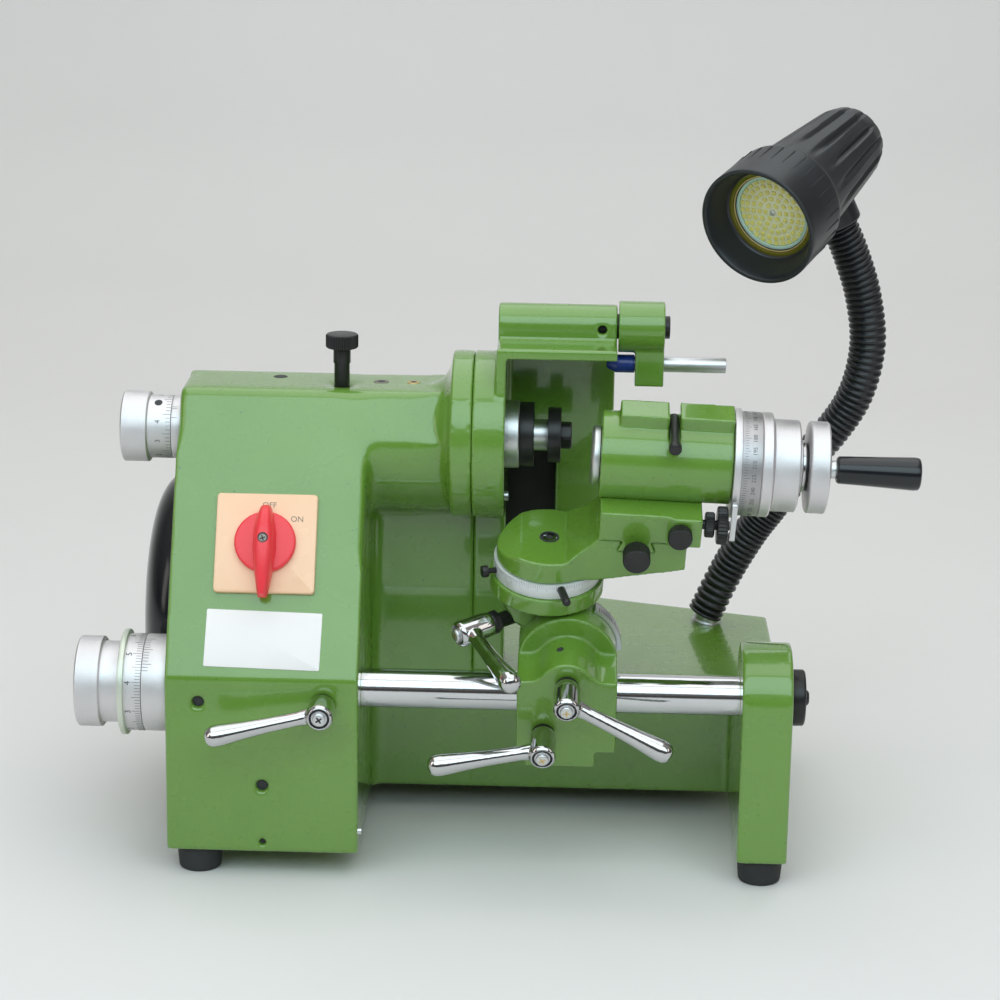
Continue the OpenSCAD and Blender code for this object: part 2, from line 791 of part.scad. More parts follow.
module quill_sleeve() color(steel) on_spindle() difference() {
    rod_x(quill_x, nose_x - gap, quill_r);
    rod_x(quill_x - 1, nose_x + 1, shaft_r + 2);
    rod_x(quill_x - 1, quill_x + bearing_w, bearing_r);
    rod_x(nose_x - gap - bearing_w, nose_x + 1, bearing_r);
}

module quill_tail() color(steel) on_spindle() difference() {
    rod_x(tail_x, tail_x + tail_l, tail_r);
    rod_x(tail_x - 1, tail_x + tail_l, screw_r + fit);
    rod_x(tail_x + tail_l - bearing_w, tail_x + tail_l + 1, tail_bearing_r);
}

module spindle_bearings() color(steel) on_spindle() {
    tube_x(quill_x, quill_x + bearing_w, bearing_r - eps, shaft_r + fit);
    tube_x(nose_x - gap - bearing_w, nose_x - gap, bearing_r - eps, shaft_r + fit);
    tube_x(tail_x + tail_l - bearing_w, tail_x + tail_l, tail_bearing_r - eps, shaft_r + fit);
}

module wheel_spindle() color(steel) on_spindle() {
    rod_x(tail_x + tail_l - bearing_w + gap, nose_x + 1, shaft_r);
    rod_x(nose_x, seat_x, nose_r);
    rod_x(seat_x - 1, outer_x + outer_flange_t - 1, seat_r);
    rod_x(outer_x, nut_x + nut_l, thread_r);
}

module spindle_pulley() color(steel) on_spindle() tube_x(
    belt_x - drum_half, belt_x + drum_half, spindle_pulley_r, shaft_r + fit
);

module wheel_flanges() color(black) on_spindle() {
    tube_x(seat_x, seat_x + inner_flange_t, inner_flange_r, seat_r + fit);
    tube_x(outer_x, outer_x + outer_flange_t, outer_flange_r, seat_r + fit);
}

module spindle_nut() color(black) on_spindle() tube_x(nut_x, nut_x + nut_l, nut_r, thread_r + fit);

module spindle_feed_sleeve() color(steel) on_spindle() tube_x(-feed_sleeve_l, 0, feed_sleeve_r, screw_r + fit);

module spindle_feed_knob() color(steel) on_spindle() {
    x0 = -feed_sleeve_l - gap;
    rod_x(x0 - feed_drum_l - feed_knob_l, x0 - feed_drum_l, feed_knob_r);
    rod_x(x0 - feed_drum_l - 1, x0, feed_sleeve_r);
    rod_x(x0 - 1, tail_x + tail_l - bearing_w - 5, screw_r);
}

// Guide bar and its feed

module bar_feed_sleeve() color(steel) on_bar() tube_x(-bar_sleeve_l, 0, bar_sleeve_r, screw_r + fit);

module bar_feed_thimble() color(steel) on_bar() {
    x0 = -bar_sleeve_l - gap;
    rod_x(x0 - drum_l, x0, bar_sleeve_r);
    rod_x(x0 - drum_l - flange_l, x0 - drum_l, bar_flange_r);
    rod_x(x0 - drum_l - flange_l - neck_l, x0 - drum_l - flange_l, bar_disc_r - 3);
    rod_x(x0 - drum_l - flange_l - neck_l - disc_l, x0 - drum_l - flange_l - neck_l, bar_disc_r);
    rod_x(x0 - 1, feed_nut_l, screw_r);
}

// Lengths of the thimble's steps
drum_l = 11;
flange_l = 4;
neck_l = 12;
disc_l = 16;

module bar_feed_nut() color(steel) on_bar() tube_x(4, 4 + feed_nut_l, bar_r, screw_r + fit);

module guide_bar() color(steel) on_bar() rod_x(4 + feed_nut_l + gap, machine_r + gap, bar_r);

module bar_end_cap() color(black) on_bar() rod_x(machine_r + gap, machine_r + gap + cap_t, cap_r);

// Carriage

// Places of the bar clamp's stud, of the tilt lock's stud above the tilt axis, and of the tongue below
clamp_x = -14.5;
clamp_z = -11.5;
clamp_end = 12.6;
lock_up = 3.5;
lock_end = 6;
tongue_x = -26;
tongue_w = 44.5;

// A fillet touches the shoulder and the round boss; side is 1 or -1
module boss_fillet_outline(side) {
    reach = tilt_boss_r + boss_fillet;
    rise = shoulder_z + boss_fillet - tilt_z;
    out = sqrt(reach * reach - rise * rise);
    part = tilt_boss_r / reach;
    difference() {
        polygon([
            [0, tilt_z], [side * out, tilt_z], [side * out, shoulder_z],
            [side * part * out, tilt_z + part * rise]
        ]);
        translate([side * out, shoulder_z + boss_fillet]) circle(boss_fillet);
    }
}

module carriage_outline() {
    translate([-carriage_half, -carriage_drop])
        square([2 * carriage_half, carriage_drop + shoulder_z]);
    translate([0, tilt_z]) circle(tilt_boss_r);
    boss_fillet_outline(1);
    boss_fillet_outline(-1);
    translate([tongue_x, -tongue_drop]) square([tongue_w, tongue_drop]);
}

module carriage_block() color(green) carriage_frame() difference() {
    union() {
        prism_y(-carriage_front, disc_front) carriage_outline();
        prism_y(disc_front - 1, disc_back) {
            translate([0, tilt_z]) circle(carriage_half);
            translate([-carriage_half, -carriage_drop]) square([2 * carriage_half, carriage_drop + tilt_z]);
        }
    }
    rod_x(-carriage_half - 1, carriage_half + 1, bar_r + fit);
    translate([0, 0, tilt_z + lock_up]) rod_y(-carriage_front - 1, -lock_end + gap, stud_r + fit);
    translate([0, 0, tilt_z]) rod_y(disc_front - 5, disc_back + 1, spigot_r + fit);
    translate([clamp_x, 0, clamp_z]) rod_y(-carriage_front - 1, -clamp_end + gap, stud_r + fit);
}

// Tilt bracket

module tilt_bracket() color(green) tilt_frame() difference() {
    union() {
        rod_y(disc_back + gap, disc_back + gap + plate_t, carriage_half);
        rod_y(disc_front - 4, disc_back + gap + 1, spigot_r);
        translate([-swivel_left, swivel_y, base_z]) cylinder(r = base_r, h = base_t);
        intersection() {
            translate([-swivel_left, swivel_y, 0]) cylinder(r1 = neck_r, r2 = base_r - neck_step, h = base_z + 1);
            block([-80, disc_back + gap, -10], [80, 120, base_z + 2]);
        }
    }
    translate([-swivel_left, swivel_y, base_z - 12]) cylinder(r = bolt_r + fit, h = 60);
    swivel_stud() translate([0, 0, -stud_in]) cylinder(r = stud_r + fit, h = stud_in + 30);
}

// The swivel clamp's stud, which leaves the bracket to the left and a little to the front
stud_in = 28;
stud_seat = 40;
stud_turn = 36;
stud_z = 18;

// The neck under the swivel base: its radius at the tilt axis, and the step back from the base
neck_r = 14;
neck_step = 8;

module swivel_stud() translate([-swivel_left, swivel_y, stud_z]) rotate([0, 0, stud_turn])
    translate([-stud_seat, 0, 0]) rotate([0, -90, 0]) children();

module tilt_scale() color(steel) tilt_frame() rotate([90, 0, 0])
    translate([0, 0, -disc_back - gap - 8])
        rotate_extrude(angle = 62) translate([carriage_half + fit, 0]) square([scale_step, 8]);

module swivel_scale_ring() color(steel) swivel_frame() translate([0, 0, ring_z]) difference() {
    cylinder(r = ring_r, h = ring_h);
    translate([0, 0, -1]) cylinder(r = bolt_r + 8, h = ring_h + 2);
}

module swivel_bolt() color(steel) swivel_frame() translate([0, 0, base_z - 12 + gap]) {
    cylinder(r = bolt_r, h = arm_z0 + arm_t - 4 - base_z + 12);
    translate([0, 0, arm_z0 + arm_t - 5 - base_z + 12]) cylinder(r = bolt_r + 0.6, h = 4);
}

// Swivel arm

module arm_plan() {
    circle(arm_end_r);
    polygon([[0, -arm_end_r], [table_left, -table_half], [table_left, table_half], [0, arm_end_r]]);
    translate([table_left - 1, -table_half]) square([table_right - table_left + 1, 2 * table_half]);
}

module arm_side() polygon([
    [-arm_end_r - 1, arm_z0], [arm_end_r - 4, arm_z0], [table_right, arm_z0 + under_rise],
    [table_right, table_z], [saddle_left, table_z], [saddle_left - 6, table_z - 6],
    [bolt_r + 6, arm_z0 + arm_t], [-bolt_r - 14, arm_z0 + arm_t],
    [-arm_end_r - 1, arm_z0 + arm_t - 7]
]);

module dovetail_outline(c) polygon([
    [-dovetail_neck / 2 + c, table_z + 1], [dovetail_neck / 2 - c, table_z + 1],
    [dovetail_neck / 2 - c, table_z], [dovetail_root / 2 - c, table_z - dovetail_h + c],
    [-dovetail_root / 2 + c, table_z - dovetail_h + c], [-dovetail_neck / 2 + c, table_z]
]);

module swivel_arm() color(green) swivel_frame() difference() {
    intersection() {
        translate([0, 0, arm_z0]) linear_extrude(table_h) arm_plan();
        prism_y(-arm_end_r - 1, arm_end_r + 1) arm_side();
    }
    translate([dovetail_x, 0, 0]) prism_y(-arm_end_r - 1, arm_end_r + 1) dovetail_outline(0);
    translate([0, 0, arm_z0 - 1]) cylinder(r = bolt_r + fit, h = table_h);
    translate([0, 0, arm_z0 + arm_t - 5]) cylinder(r = bolt_r + 1.4, h = table_h);
}

// Workhead

module workhead_saddle() color(green) swivel_frame() difference() {
    union() {
        block(
            [saddle_left, -saddle_front, saddle_z],
            [saddle_left + saddle_l, saddle_d - saddle_front, saddle_top]
        );
        translate([dovetail_x, 0, 0]) prism_y(-saddle_front, saddle_d - saddle_front)
            dovetail_outline(face_fit);
        translate([saddle_left, -saddle_front, saddle_z]) linear_extrude(saddle_h) polygon([
            [boss_at, 1], [boss_at, 0], [boss_at + 2 * boss_t, -boss_t], [saddle_l, -boss_t], [saddle_l, 1]
        ]);
    }
    translate([dovetail_x, 0, knob_z]) rod_y(-saddle_front - 1, 0, knob_stem_r + fit);
    translate([plunger_x, 0, plunger_z]) rod_y(-saddle_front - boss_t - 1, 0, knob_stem_r + fit);
    translate([0, stop_y, stop_z]) rod_x(saddle_left + saddle_l - 9, saddle_left + saddle_l + 1, knob_stem_r + fit);
}

// The boss on the saddle's front, and the places of the knobs and of the stop screw
boss_at = 41.5;
boss_t = 3;
knob_stem_r = 3;
knob_z = table_z - dovetail_h / 2;
plunger_x = saddle_left + saddle_l - 13.5;
plunger_z = saddle_z + 10.5;
stop_y = -19;
stop_z = saddle_z + 11;

module workhead_body() color(green) work_frame() difference() {
    union() {
        intersection() {
            rod_x(work_x, work_x + work_l, work_r);
            block([work_x, -work_r, -work_h], [work_x + work_l, work_r, work_r]);
        }
        block([work_x + pad_step, -pad_half, 0], [work_x + work_l, pad_half, pad_h]);
    }
    rod_x(work_x - 1, work_x + work_l + 1, work_shaft_r + fit);
    block([lock_pin_x - slot_w / 2, -work_r, work_r - 6], [lock_pin_x + slot_w / 2, work_r, pad_h + 1]);
}

lock_pin_x = work_x + 44.7;

module spindle_lock_pin() color(black) work_frame() translate([lock_pin_x, 0, work_r - 6 + pin_r]) {
    rod_y(-34, 6, pin_r - 0.8);
    rod_y(-34, -26, pin_r);
    translate([0, 0, -pin_r]) cylinder(r = pin_r - 1, h = pin_r);
}

module work_spindle() color(steel) work_frame() difference() {
    union() {
        rod_x(work_x - gap - work_nose_t, work_x - gap, work_nose_r);
        rod_x(work_x - gap - 1, wheel_x + wheel_t, work_shaft_r);
    }
    rod_x(work_x - gap - work_nose_t - 1, work_x - gap - work_nose_t + collet_l, collet_r);
}

module index_dial() color(steel) work_frame() {
    tube_x(dial_x, drum_x, dial_rim_r, work_shaft_r + fit);
    tube_x(drum_x - eps, dial_collar_x, dial_r, work_shaft_r + fit);
}

module dial_collar() color(steel) work_frame() tube_x(dial_collar_x, hub_x, wheel_r, work_shaft_r + fit);

// Middle of the crank grip, seen from the work axis
crank_at = crank_off * [-sin(crank_turn), cos(crank_turn)];

module handwheel() color(steel) work_frame() {
    tube_x(hub_x, wheel_x + 1, hub_r, work_shaft_r + fit);
    tube_x(wheel_x, wheel_x + wheel_t, wheel_r, work_shaft_r + fit);
    translate([0, crank_at[0], crank_at[1]]) rod_x(wheel_x + wheel_t - 1, grip_x + grip_l - 2, pin_r);
}

module crank_grip() color(black) work_frame() translate([grip_x, crank_at[0], crank_at[1]]) rotate([0, 90, 0])
    difference() {
        cylinder(r1 = grip_r - 1.8, r2 = grip_r, h = grip_l);
        translate([0, 0, -1]) cylinder(r = pin_r + fit, h = grip_l - 1 + gap);
    }

// Clamp levers: a stud, a shoulder, a hub and an arm with a rounded end

shoulder_l = 3;
arm_up = 18;

module clamp_lever(stud_l) color(steel) {
    arm_from = [0, 0, arm_up];
    arm_dir = [cos(lever_rise), 0, sin(lever_rise)];
    translate([0, 0, -stud_l]) cylinder(r = stud_r, h = stud_l + 1);
    cylinder(r = stud_r + 2, h = shoulder_l + 1);
    difference() {
        translate([0, 0, shoulder_l]) cylinder(r = lever_r, h = lever_h);
        translate([0, 0, shoulder_l + lever_h - 3]) cylinder(r = lever_r - 3.5, h = 4);
    }
    translate(arm_from) rotate([0, 90 - lever_rise, 0]) difference() {
        cylinder(r1 = stud_r, r2 = lever_ball_r - 1.5, h = lever_l);
        cylinder(r = lever_r / 2, h = lever_r / 2);
    }
    translate(arm_from + lever_l * arm_dir) sphere(lever_ball_r);
}

module front_lever(stud_l, turn) rotate([90, 0, 0]) rotate([0, 0, turn]) translate([0, 0, gap]) clamp_lever(stud_l);

module bar_lock_lever() translate([lock_x, 0, bar_z]) front_lever(bar_y - bar_r, 190);

module tilt_lock_lever() carriage_frame() translate([0, -carriage_front, tilt_z + lock_up])
    front_lever(carriage_front - lock_end, -23);

module carriage_clamp_lever() carriage_frame() translate([clamp_x, -carriage_front, clamp_z])
    front_lever(carriage_front - clamp_end, 183);

module swivel_clamp_lever() tilt_frame() swivel_stud() rotate([0, 0, 275]) clamp_lever(stud_in - 1);

// Switch, thumb screw and small knobs

switch_in = 42;
switch_stem_r = 5;
switch_knob_t = 5;
handle_h = 14;
handle_w = 16;
handle_low = 36;
handle_top = 23;
handle_tip = 7;

module switch_plate() color(cream) face_frame() translate([switch_u, switch_v, 0]) difference() {
    block([-switch_side / 2, -switch_side / 2, 0], [switch_side / 2, switch_side / 2, switch_t]);
    translate([0, 0, -1]) cylinder(r = switch_stem_r + 1, h = switch_t + 2);
}

module switch_body() color(black) face_frame() translate([switch_u, switch_v, 0]) {
    translate([0, 0, -switch_in]) cylinder(r = switch_r, h = switch_in);
}

module switch_knob() color(red) face_frame() translate([switch_u, switch_v, switch_t + gap]) {
    translate([0, 0, -switch_t]) cylinder(r = switch_stem_r, h = switch_t + 1);
    cylinder(r = switch_knob_r, h = switch_knob_t);
    translate([0, 0, switch_knob_t - 1]) linear_extrude(handle_h) polygon([
        [-handle_tip / 2, -handle_low], [handle_tip / 2, -handle_low], [handle_w / 2, -switch_stem_r],
        [handle_w / 2 - 3, handle_top], [3 - handle_w / 2, handle_top], [-handle_w / 2, -switch_stem_r]
    ]);
}

module quill_lock_screw() color(black) translate([thumb_x, spindle_y, 0]) {
    translate([0, 0, spindle_z + quill_r + gap]) cylinder(r = stud_r, h = top_z - spindle_z - quill_r + 25);
    translate([0, 0, top_z + 24]) cylinder(r = thumb_r, h = 9);
}

module push_knob(r, l, neck) color(black) {
    rod_y(-l, -neck, r);
    rod_y(-neck - 1, 18, knob_stem_r);
}

module slide_clamp_knob() swivel_frame() translate([dovetail_x, -saddle_front, knob_z])
    push_knob(slide_knob_r, 17, 5);

module index_plunger() swivel_frame() translate([plunger_x, -saddle_front - boss_t, plunger_z])
    push_knob(plunger_r, 8.5, 0.5);

module stop_screw() color(black) swivel_frame() translate([saddle_left + saddle_l, stop_y, stop_z]) {
    rod_x(-8, 16, knob_stem_r);
    rod_x(2, 8, stop_r - 4);
    rod_x(9.5, 16, stop_r);
}

// Lamp

module lamp_head() color(black) {
    lamp_frame() rotate_extrude() polygon([
        [bezel_r - shade_wall, 0], [bezel_r, 0], [bezel_r - 1.5, bezel_l], [bezel_r - 6, bezel_l + 4],
        [shade_r, lamp_l - 16], [shade_r - 3, lamp_l - 5], [shade_r - 10, lamp_l], [0, lamp_l],
        [0, bulb_z + bulb_l + gap], [bulb_r / 2 + gap, bulb_z + bulb_l + gap],
        [bulb_r + gap, bulb_z + 9], [bulb_r + gap, bulb_z - 2], [bulb_r + 6, bulb_z - 4],
        [bezel_r - shade_wall - 2, 6]
    ]);
    hose_end_frame() translate([0, 0, -10]) difference() {
        cylinder(r = hose_r + 3.5, h = 34);
        translate([0, 0, -1]) cylinder(r = hose_r + gap, h = 11 + gap);
    }
}

module lamp_bulb() color(cream) lamp_frame() translate([0, 0, bulb_z]) rotate_extrude() polygon([
    [0, 0], [bulb_r, 0], [bulb_r, 9], [bulb_r / 2, bulb_l], [0, bulb_l]
]);

module gooseneck_gland() color(steel) translate(gland_at) {
    cylinder(r = hose_r + 1.5, h = gland_nut_h, $fn = 6);
    translate([0, 0, gland_nut_h]) rotate([0, gland_lean, 0]) translate([0, 0, -3])
        cylinder(r = hose_r - 3, h = gland_stub + 3);
}

// Points of the flexible arm: straight at both ends, one diameter long, and smooth between

hose_end_unit = hose_end_dir / norm(hose_end_dir);
hose_keys = concat(
    [hose_from, hose_from + 2 * hose_r * stub_dir], hose_mid,
    [hose_to - 2 * hose_r * hose_end_unit, hose_to]
);
hose_steps = 2 * hose_ribs;

function on_curve(p, t) = let (
    n = len(p) - 1,
    i = min(floor(t * n), n - 1),
    s = t * n - i,
    a = p[max(i - 1, 0)], b = p[i], c = p[i + 1], d = p[min(i + 2, n)]
) 0.5 * (2 * b + s * (c - a) + s * s * (2 * a - 5 * b + 4 * c - d) + s * s * s * (3 * b - a - 3 * c + d));

function hose_way(t) = let (
    h = 0.001,
    v = on_curve(hose_keys, min(t + h, 1)) - on_curve(hose_keys, max(t - h, 0))
) v / norm(v);

function hose_ring(t, r) = let (
    c = on_curve(hose_keys, t),
    side = cross(hose_way(t), [0, 1, 0]),
    u = side / norm(side),
    w = cross(hose_way(t), u)
) [for (k = [0 : 7]) c + r * (cos(45 * k) * u + sin(45 * k) * w)];

module gooseneck() color(rubber) {
    outer = [for (i = [0 : hose_steps]) each hose_ring(i / hose_steps, hose_r - (i % 2 == 0 ? groove : 0))];
    inner = [for (i = [0 : hose_steps]) each hose_ring(i / hose_steps, hose_bore)];
    m = len(outer);
    last = 8 * hose_steps;
    side = [for (i = [0 : hose_steps - 1], k = [0 : 7]) let (
        a = 8 * i + k, b = 8 * i + (k + 1) % 8, c = b + 8, d = a + 8
    ) each [[a, c, b], [a, d, c], [m + a, m + b, m + c], [m + a, m + c, m + d]]];
    ends = [for (k = [0 : 7]) let (a = k, b = (k + 1) % 8) each [
        [a, b, m + b], [a, m + b, m + a],
        [last + a, m + last + b, last + b], [last + a, m + last + a, m + last + b]
    ]];
    polyhedron(concat(outer, inner), concat(side, ends));
}

at_origin() headstock_casting();
at_origin() bed_casting();
at_origin() end_bracket();
at_origin() rubber_feet();
at_origin() rear_cover();
at_origin() spindle_barrel();
at_origin() wheel_guard();
at_origin() guard_back_plate();
at_origin() switch_plate();
at_origin() switch_body();
at_origin() switch_knob();
at_origin() motor_body();
at_origin() motor_end_cover();
at_origin() motor_rotor();
at_origin() motor_pulley();
at_origin() drive_belt();
at_origin() quill_sleeve();
at_origin() quill_tail();
at_origin() spindle_bearings();
at_origin() wheel_spindle();
at_origin() spindle_pulley();
at_origin() wheel_flanges();
at_origin() spindle_nut();
at_origin() spindle_feed_sleeve();
at_origin() spindle_feed_knob();
at_origin() bar_feed_sleeve();
at_origin() bar_feed_thimble();
at_origin() bar_feed_nut();
at_origin() guide_bar();
at_origin() bar_end_cap();
at_origin() carriage_block();
at_origin() tilt_bracket();
at_origin() tilt_scale();
at_origin() swivel_scale_ring();
at_origin() swivel_bolt();
at_origin() swivel_arm();
at_origin() workhead_saddle();
at_origin() workhead_body();
at_origin() spindle_lock_pin();
at_origin() work_spindle();
at_origin() index_dial();
at_origin() dial_collar();
at_origin() handwheel();
at_origin() crank_grip();
at_origin() bar_lock_lever();
at_origin() tilt_lock_lever();
at_origin() carriage_clamp_lever();
at_origin() swivel_clamp_lever();
at_origin() quill_lock_screw();
at_origin() dresser_pivot();
at_origin() dresser_link();
at_origin() dresser_rod();
at_origin() dresser_tip();
at_origin() lamp_head();
at_origin() lamp_bulb();
at_origin() gooseneck();
at_origin() gooseneck_gland();
at_origin() slide_clamp_knob();
at_origin() index_plunger();
at_origin() stop_screw();
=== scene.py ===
# %% [markdown]
# # A bench tool and cutter grinder
#
# This lesson dresses a packed CAD model of a small grinder for drills, end mills and
# engraving cutters. A green cast body carries a wheel spindle at the left. A workhead with
# a graduated dial stands on a round steel bar in front. The CAD gives every size and joint.
# Here we add what CAD leaves out: cast fillets, knurls, scales, chrome, paint and light.

# %% Load the packed model
from math import cos, degrees, pi, radians, sin

import bmesh
import bpy
import numpy as np
from mathutils import Matrix, Vector


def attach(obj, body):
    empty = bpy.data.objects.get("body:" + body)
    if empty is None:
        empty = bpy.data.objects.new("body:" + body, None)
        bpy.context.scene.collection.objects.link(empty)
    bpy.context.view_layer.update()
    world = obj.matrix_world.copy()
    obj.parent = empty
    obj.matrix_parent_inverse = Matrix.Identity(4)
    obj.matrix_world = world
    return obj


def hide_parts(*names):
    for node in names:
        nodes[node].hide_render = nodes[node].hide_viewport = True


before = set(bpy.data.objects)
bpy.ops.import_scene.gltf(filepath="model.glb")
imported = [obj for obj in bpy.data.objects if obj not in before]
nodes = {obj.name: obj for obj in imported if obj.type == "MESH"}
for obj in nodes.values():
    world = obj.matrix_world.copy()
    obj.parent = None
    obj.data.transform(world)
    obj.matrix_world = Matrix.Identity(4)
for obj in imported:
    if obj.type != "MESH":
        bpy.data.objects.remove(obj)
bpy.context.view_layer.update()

# %% [markdown]
# ## Places on the machine
#
# A machine is drawn from its axes. Each frame below is a matrix that stands on the one
# before it, just as the real parts do: the carriage leans on the bar, the bracket tilts on
# the carriage, the arm swivels on the bracket, and the workhead rides on the arm.
# Everything is written in millimetres and scaled to metres when a mesh is made.

# %% Frames of the moving parts
MM = 0.001
ROCK, TILT, LEAN = 17, 2.2, 27.5  # degrees, of the carriage, the bracket and the sloping panel


def shift(x, y, z):
    return Matrix.Translation((x, y, z))


def turn(angle, axis):
    return Matrix.Rotation(radians(angle), 4, axis)


machine = shift(-204, -130, 0)
spindle = machine @ shift(0, 107, 269)
motor = machine @ shift(0, 168, 130)
bar = machine @ shift(0, 35, 118)
guard_arm = machine @ shift(0, 110, 341)
panel = machine @ shift(0, 0, 133) @ turn(90 - LEAN, "X")
carriage = bar @ shift(253, 0, 0) @ turn(ROCK, "X")
tilt = carriage @ shift(0, 0, 22) @ turn(TILT, "Y")
swivel = tilt @ shift(-16, 39, 0)
work = swivel @ shift(0, 15.5, 122.7)
print("work axis starts at", [round(v) for v in work.translation])

# %% [markdown]
# ## Camera
#
# The photograph was matched by solving for the lens and the viewpoint from points on the
# machine, so the camera is written as a place, three angles and a long lens. Blender's
# camera looks down its own minus Z, which is why the forward direction is negated.

# %% Camera at the photograph's viewpoint
FOCAL, SENSOR = 101.15, 36
VIEWPOINT = Vector((251.34, -1663.91, 709.54))
YAW, PITCH, ROLL = -0.02532, -0.26735, 0.01598  # radians


def in_scene(name, data):
    made = bpy.data.objects.new(name, data)
    bpy.context.collection.objects.link(made)
    return made


forward = Vector((sin(YAW) * cos(PITCH), cos(YAW) * cos(PITCH), sin(PITCH)))
level = Vector((cos(YAW), -sin(YAW), 0))
up = level.cross(forward)
right = cos(ROLL) * level + sin(ROLL) * up
above = -sin(ROLL) * level + cos(ROLL) * up
stance = Matrix((right, above, -forward)).transposed().to_4x4()
stance.translation = (machine @ VIEWPOINT) * MM

lens = bpy.data.cameras.new("camera")
lens.lens, lens.sensor_width = FOCAL, SENSOR
camera = in_scene("camera", lens)
camera.matrix_world = stance
bpy.context.scene.camera = camera
print("camera", [round(v, 3) for v in stance.translation])

# %% [markdown]
# ## Shader maths as sums
#
# Node trees are easier to read as formulas. `Wire` holds one socket. Adding or multiplying
# wires adds Math nodes, and `node` makes any other node from its type, its settings and
# the values or wires of its sockets.


# %% A socket that can be calculated with
class Wire:
    def __init__(self, tree, socket=None):
        self.tree, self.socket = tree, socket

    def node(self, kind, settings=(), inputs=(), out=0):
        made = self.tree.nodes.new("ShaderNode" + kind)
        for key, value in dict(settings).items():
            if key == "stops":
                for stop, (place, shade) in zip(made.color_ramp.elements, value):
                    stop.position, stop.color = place, shade
            else:
                setattr(made, key, value)
        for key, value in dict(inputs).items():
            if isinstance(value, Wire):
                self.tree.links.new(value.socket, made.inputs[key])
            else:
                made.inputs[key].default_value = value
        return Wire(self.tree, made.outputs[out])

    def maths(self, operation, a, b):
        return self.node("Math", {"operation": operation}, {0: a, 1: b})

    def __add__(self, other):
        return self.maths("ADD", self, other)

    def __mul__(self, other):
        return self.maths("MULTIPLY", self, other)

    def __rsub__(self, other):
        return self.maths("SUBTRACT", other, self)

    def __gt__(self, other):
        return self.maths("GREATER_THAN", self, other)

    __radd__, __rmul__ = __add__, __mul__

    def mix(self, low, high):
        return self.node("Mix", {"data_type": "RGBA"}, {0: self, 6: low, 7: high}, out=2)


print("Wire offers", [name for name in vars(Wire) if not name.startswith("_")])

# %% [markdown]
# ## Finishes
#
# A finish is a Principled shader whose fixed values are set on its own sockets. What varies
# over a surface is fed by noise in object space, so it sticks to the part when it moves.
# Every finish also names the record's material slot that it stands for.

# %% Start of a finish
finishes, slots = {}, {}


def finish(name, slot, **fixed):
    made = bpy.data.materials.new(name)
    made.use_nodes = True
    shader = made.node_tree.nodes["Principled BSDF"]
    for key, value in fixed.items():
        shader.inputs[key.replace("_", " ")].default_value = value
    finishes[name], slots[name] = made, slot
    print("finish:", name)
    start = Wire(made.node_tree)
    spot = start.node("TexCoord", out=3)

    def feed(key, wire):
        made.node_tree.links.new(wire.socket, shader.inputs[key])

    return start, spot, feed


def noise(start, spot, scale, detail=3.0):
    return start.node("TexNoise", {}, {"Vector": spot, "Scale": scale, "Detail": detail, "Roughness": 0.55})


def bump(start, height, strength, distance):
    return start.node("Bump", {}, {"Height": height, "Strength": strength, "Distance": distance})


# %% [markdown]
# The green is a thick brushed enamel over rough castings. It has a wet gloss, a slight
# orange peel a few millimetres across, and slow changes of tone where it lies thicker.
# Tiny pits show where casting sand left holes. Their darker colour is painted shade for the
# holes, which the skin does not have. The tone and the peel are two noises, and a third one,
# cut off at a high level, leaves only the pits.

# %% Green enamel
# The third colour is painted shade: the darker green that stands for the shade inside the sand pits.
THIN_COAT, THICK_COAT, PAINTED_PIT_SHADE = (0.112, 0.250, 0.025, 1), (0.148, 0.304, 0.039, 1), (0.075, 0.15, 0.035, 1)
start, spot, feed = finish("green enamel", "green_paint", Coat_Roughness=0.06, Coat_IOR=1.55)
tone = noise(start, spot, 14, 4)
peel = noise(start, spot, 260, 2)
pits = noise(start, spot, 330, 1) > 0.775
feed("Base Color", (1 - pits).mix(PAINTED_PIT_SHADE, tone.mix(THIN_COAT, THICK_COAT)))
feed("Roughness", 0.20 + noise(start, spot, 40) * 0.16)
feed("Coat Weight", 0.75 + tone * 0.25)
feed("Normal", bump(start, peel + tone * 2.0, 0.10, 0.0012))

# %% [markdown]
# Turned steel shows fine rings left by the lathe tool. The rings only change along the
# part's own axis, so the noise is one-dimensional and reads a single coordinate. Seven
# metals share this recipe, and differ in colour, gloss and how close the rings lie.


# %% Steels
def metal(name, slot, shade, gloss, spread, lines, grain):
    start, spot, feed = finish(name, slot, Metallic=1.0)
    along = start.node("SeparateXYZ", {}, {0: spot})
    rings = start.node("TexNoise", {"noise_dimensions": "1D"}, {"W": along, "Scale": lines, "Detail": 2.0})
    smear = noise(start, spot, 35, 4)
    dark = (*(0.82 * c for c in shade), 1)
    feed("Base Color", smear.mix(dark, (*shade, 1)))
    feed("Roughness", gloss + smear * spread + rings * (spread * 0.6))
    feed("Normal", bump(start, rings + noise(start, spot, 900, 1), grain, 0.0002))


metal("satin steel", "bare_steel", (0.74, 0.745, 0.76), 0.20, 0.22, 2600, 0.18)
metal("dull silver", "bare_steel", (0.80, 0.77, 0.785), 0.34, 0.20, 1500, 0.25)
metal("scale grey", "bare_steel", (0.50, 0.48, 0.49), 0.28, 0.2, 2200, 0.2)
metal("bright bar", "ground_steel", (0.72, 0.72, 0.735), 0.05, 0.08, 500, 0.04)
metal("chrome", "chrome", (0.64, 0.635, 0.645), 0.03, 0.05, 60, 0.02)
metal("dark steel", "bare_steel", (0.30, 0.27, 0.24), 0.28, 0.25, 1800, 0.2)
metal("brass", "bare_steel", (0.78, 0.58, 0.27), 0.22, 0.2, 900, 0.1)

# %% [markdown]
# Blackened screws, moulded plastic and rubber are all nearly black, and differ in gloss
# and grain. Oiled oxide has a sheen with worn, browner patches; plastic has a fine
# moulded grain; rubber is matt and dusty. One recipe of a low and a high colour, a gloss
# and a grain covers them all, and the inks of the scales too.


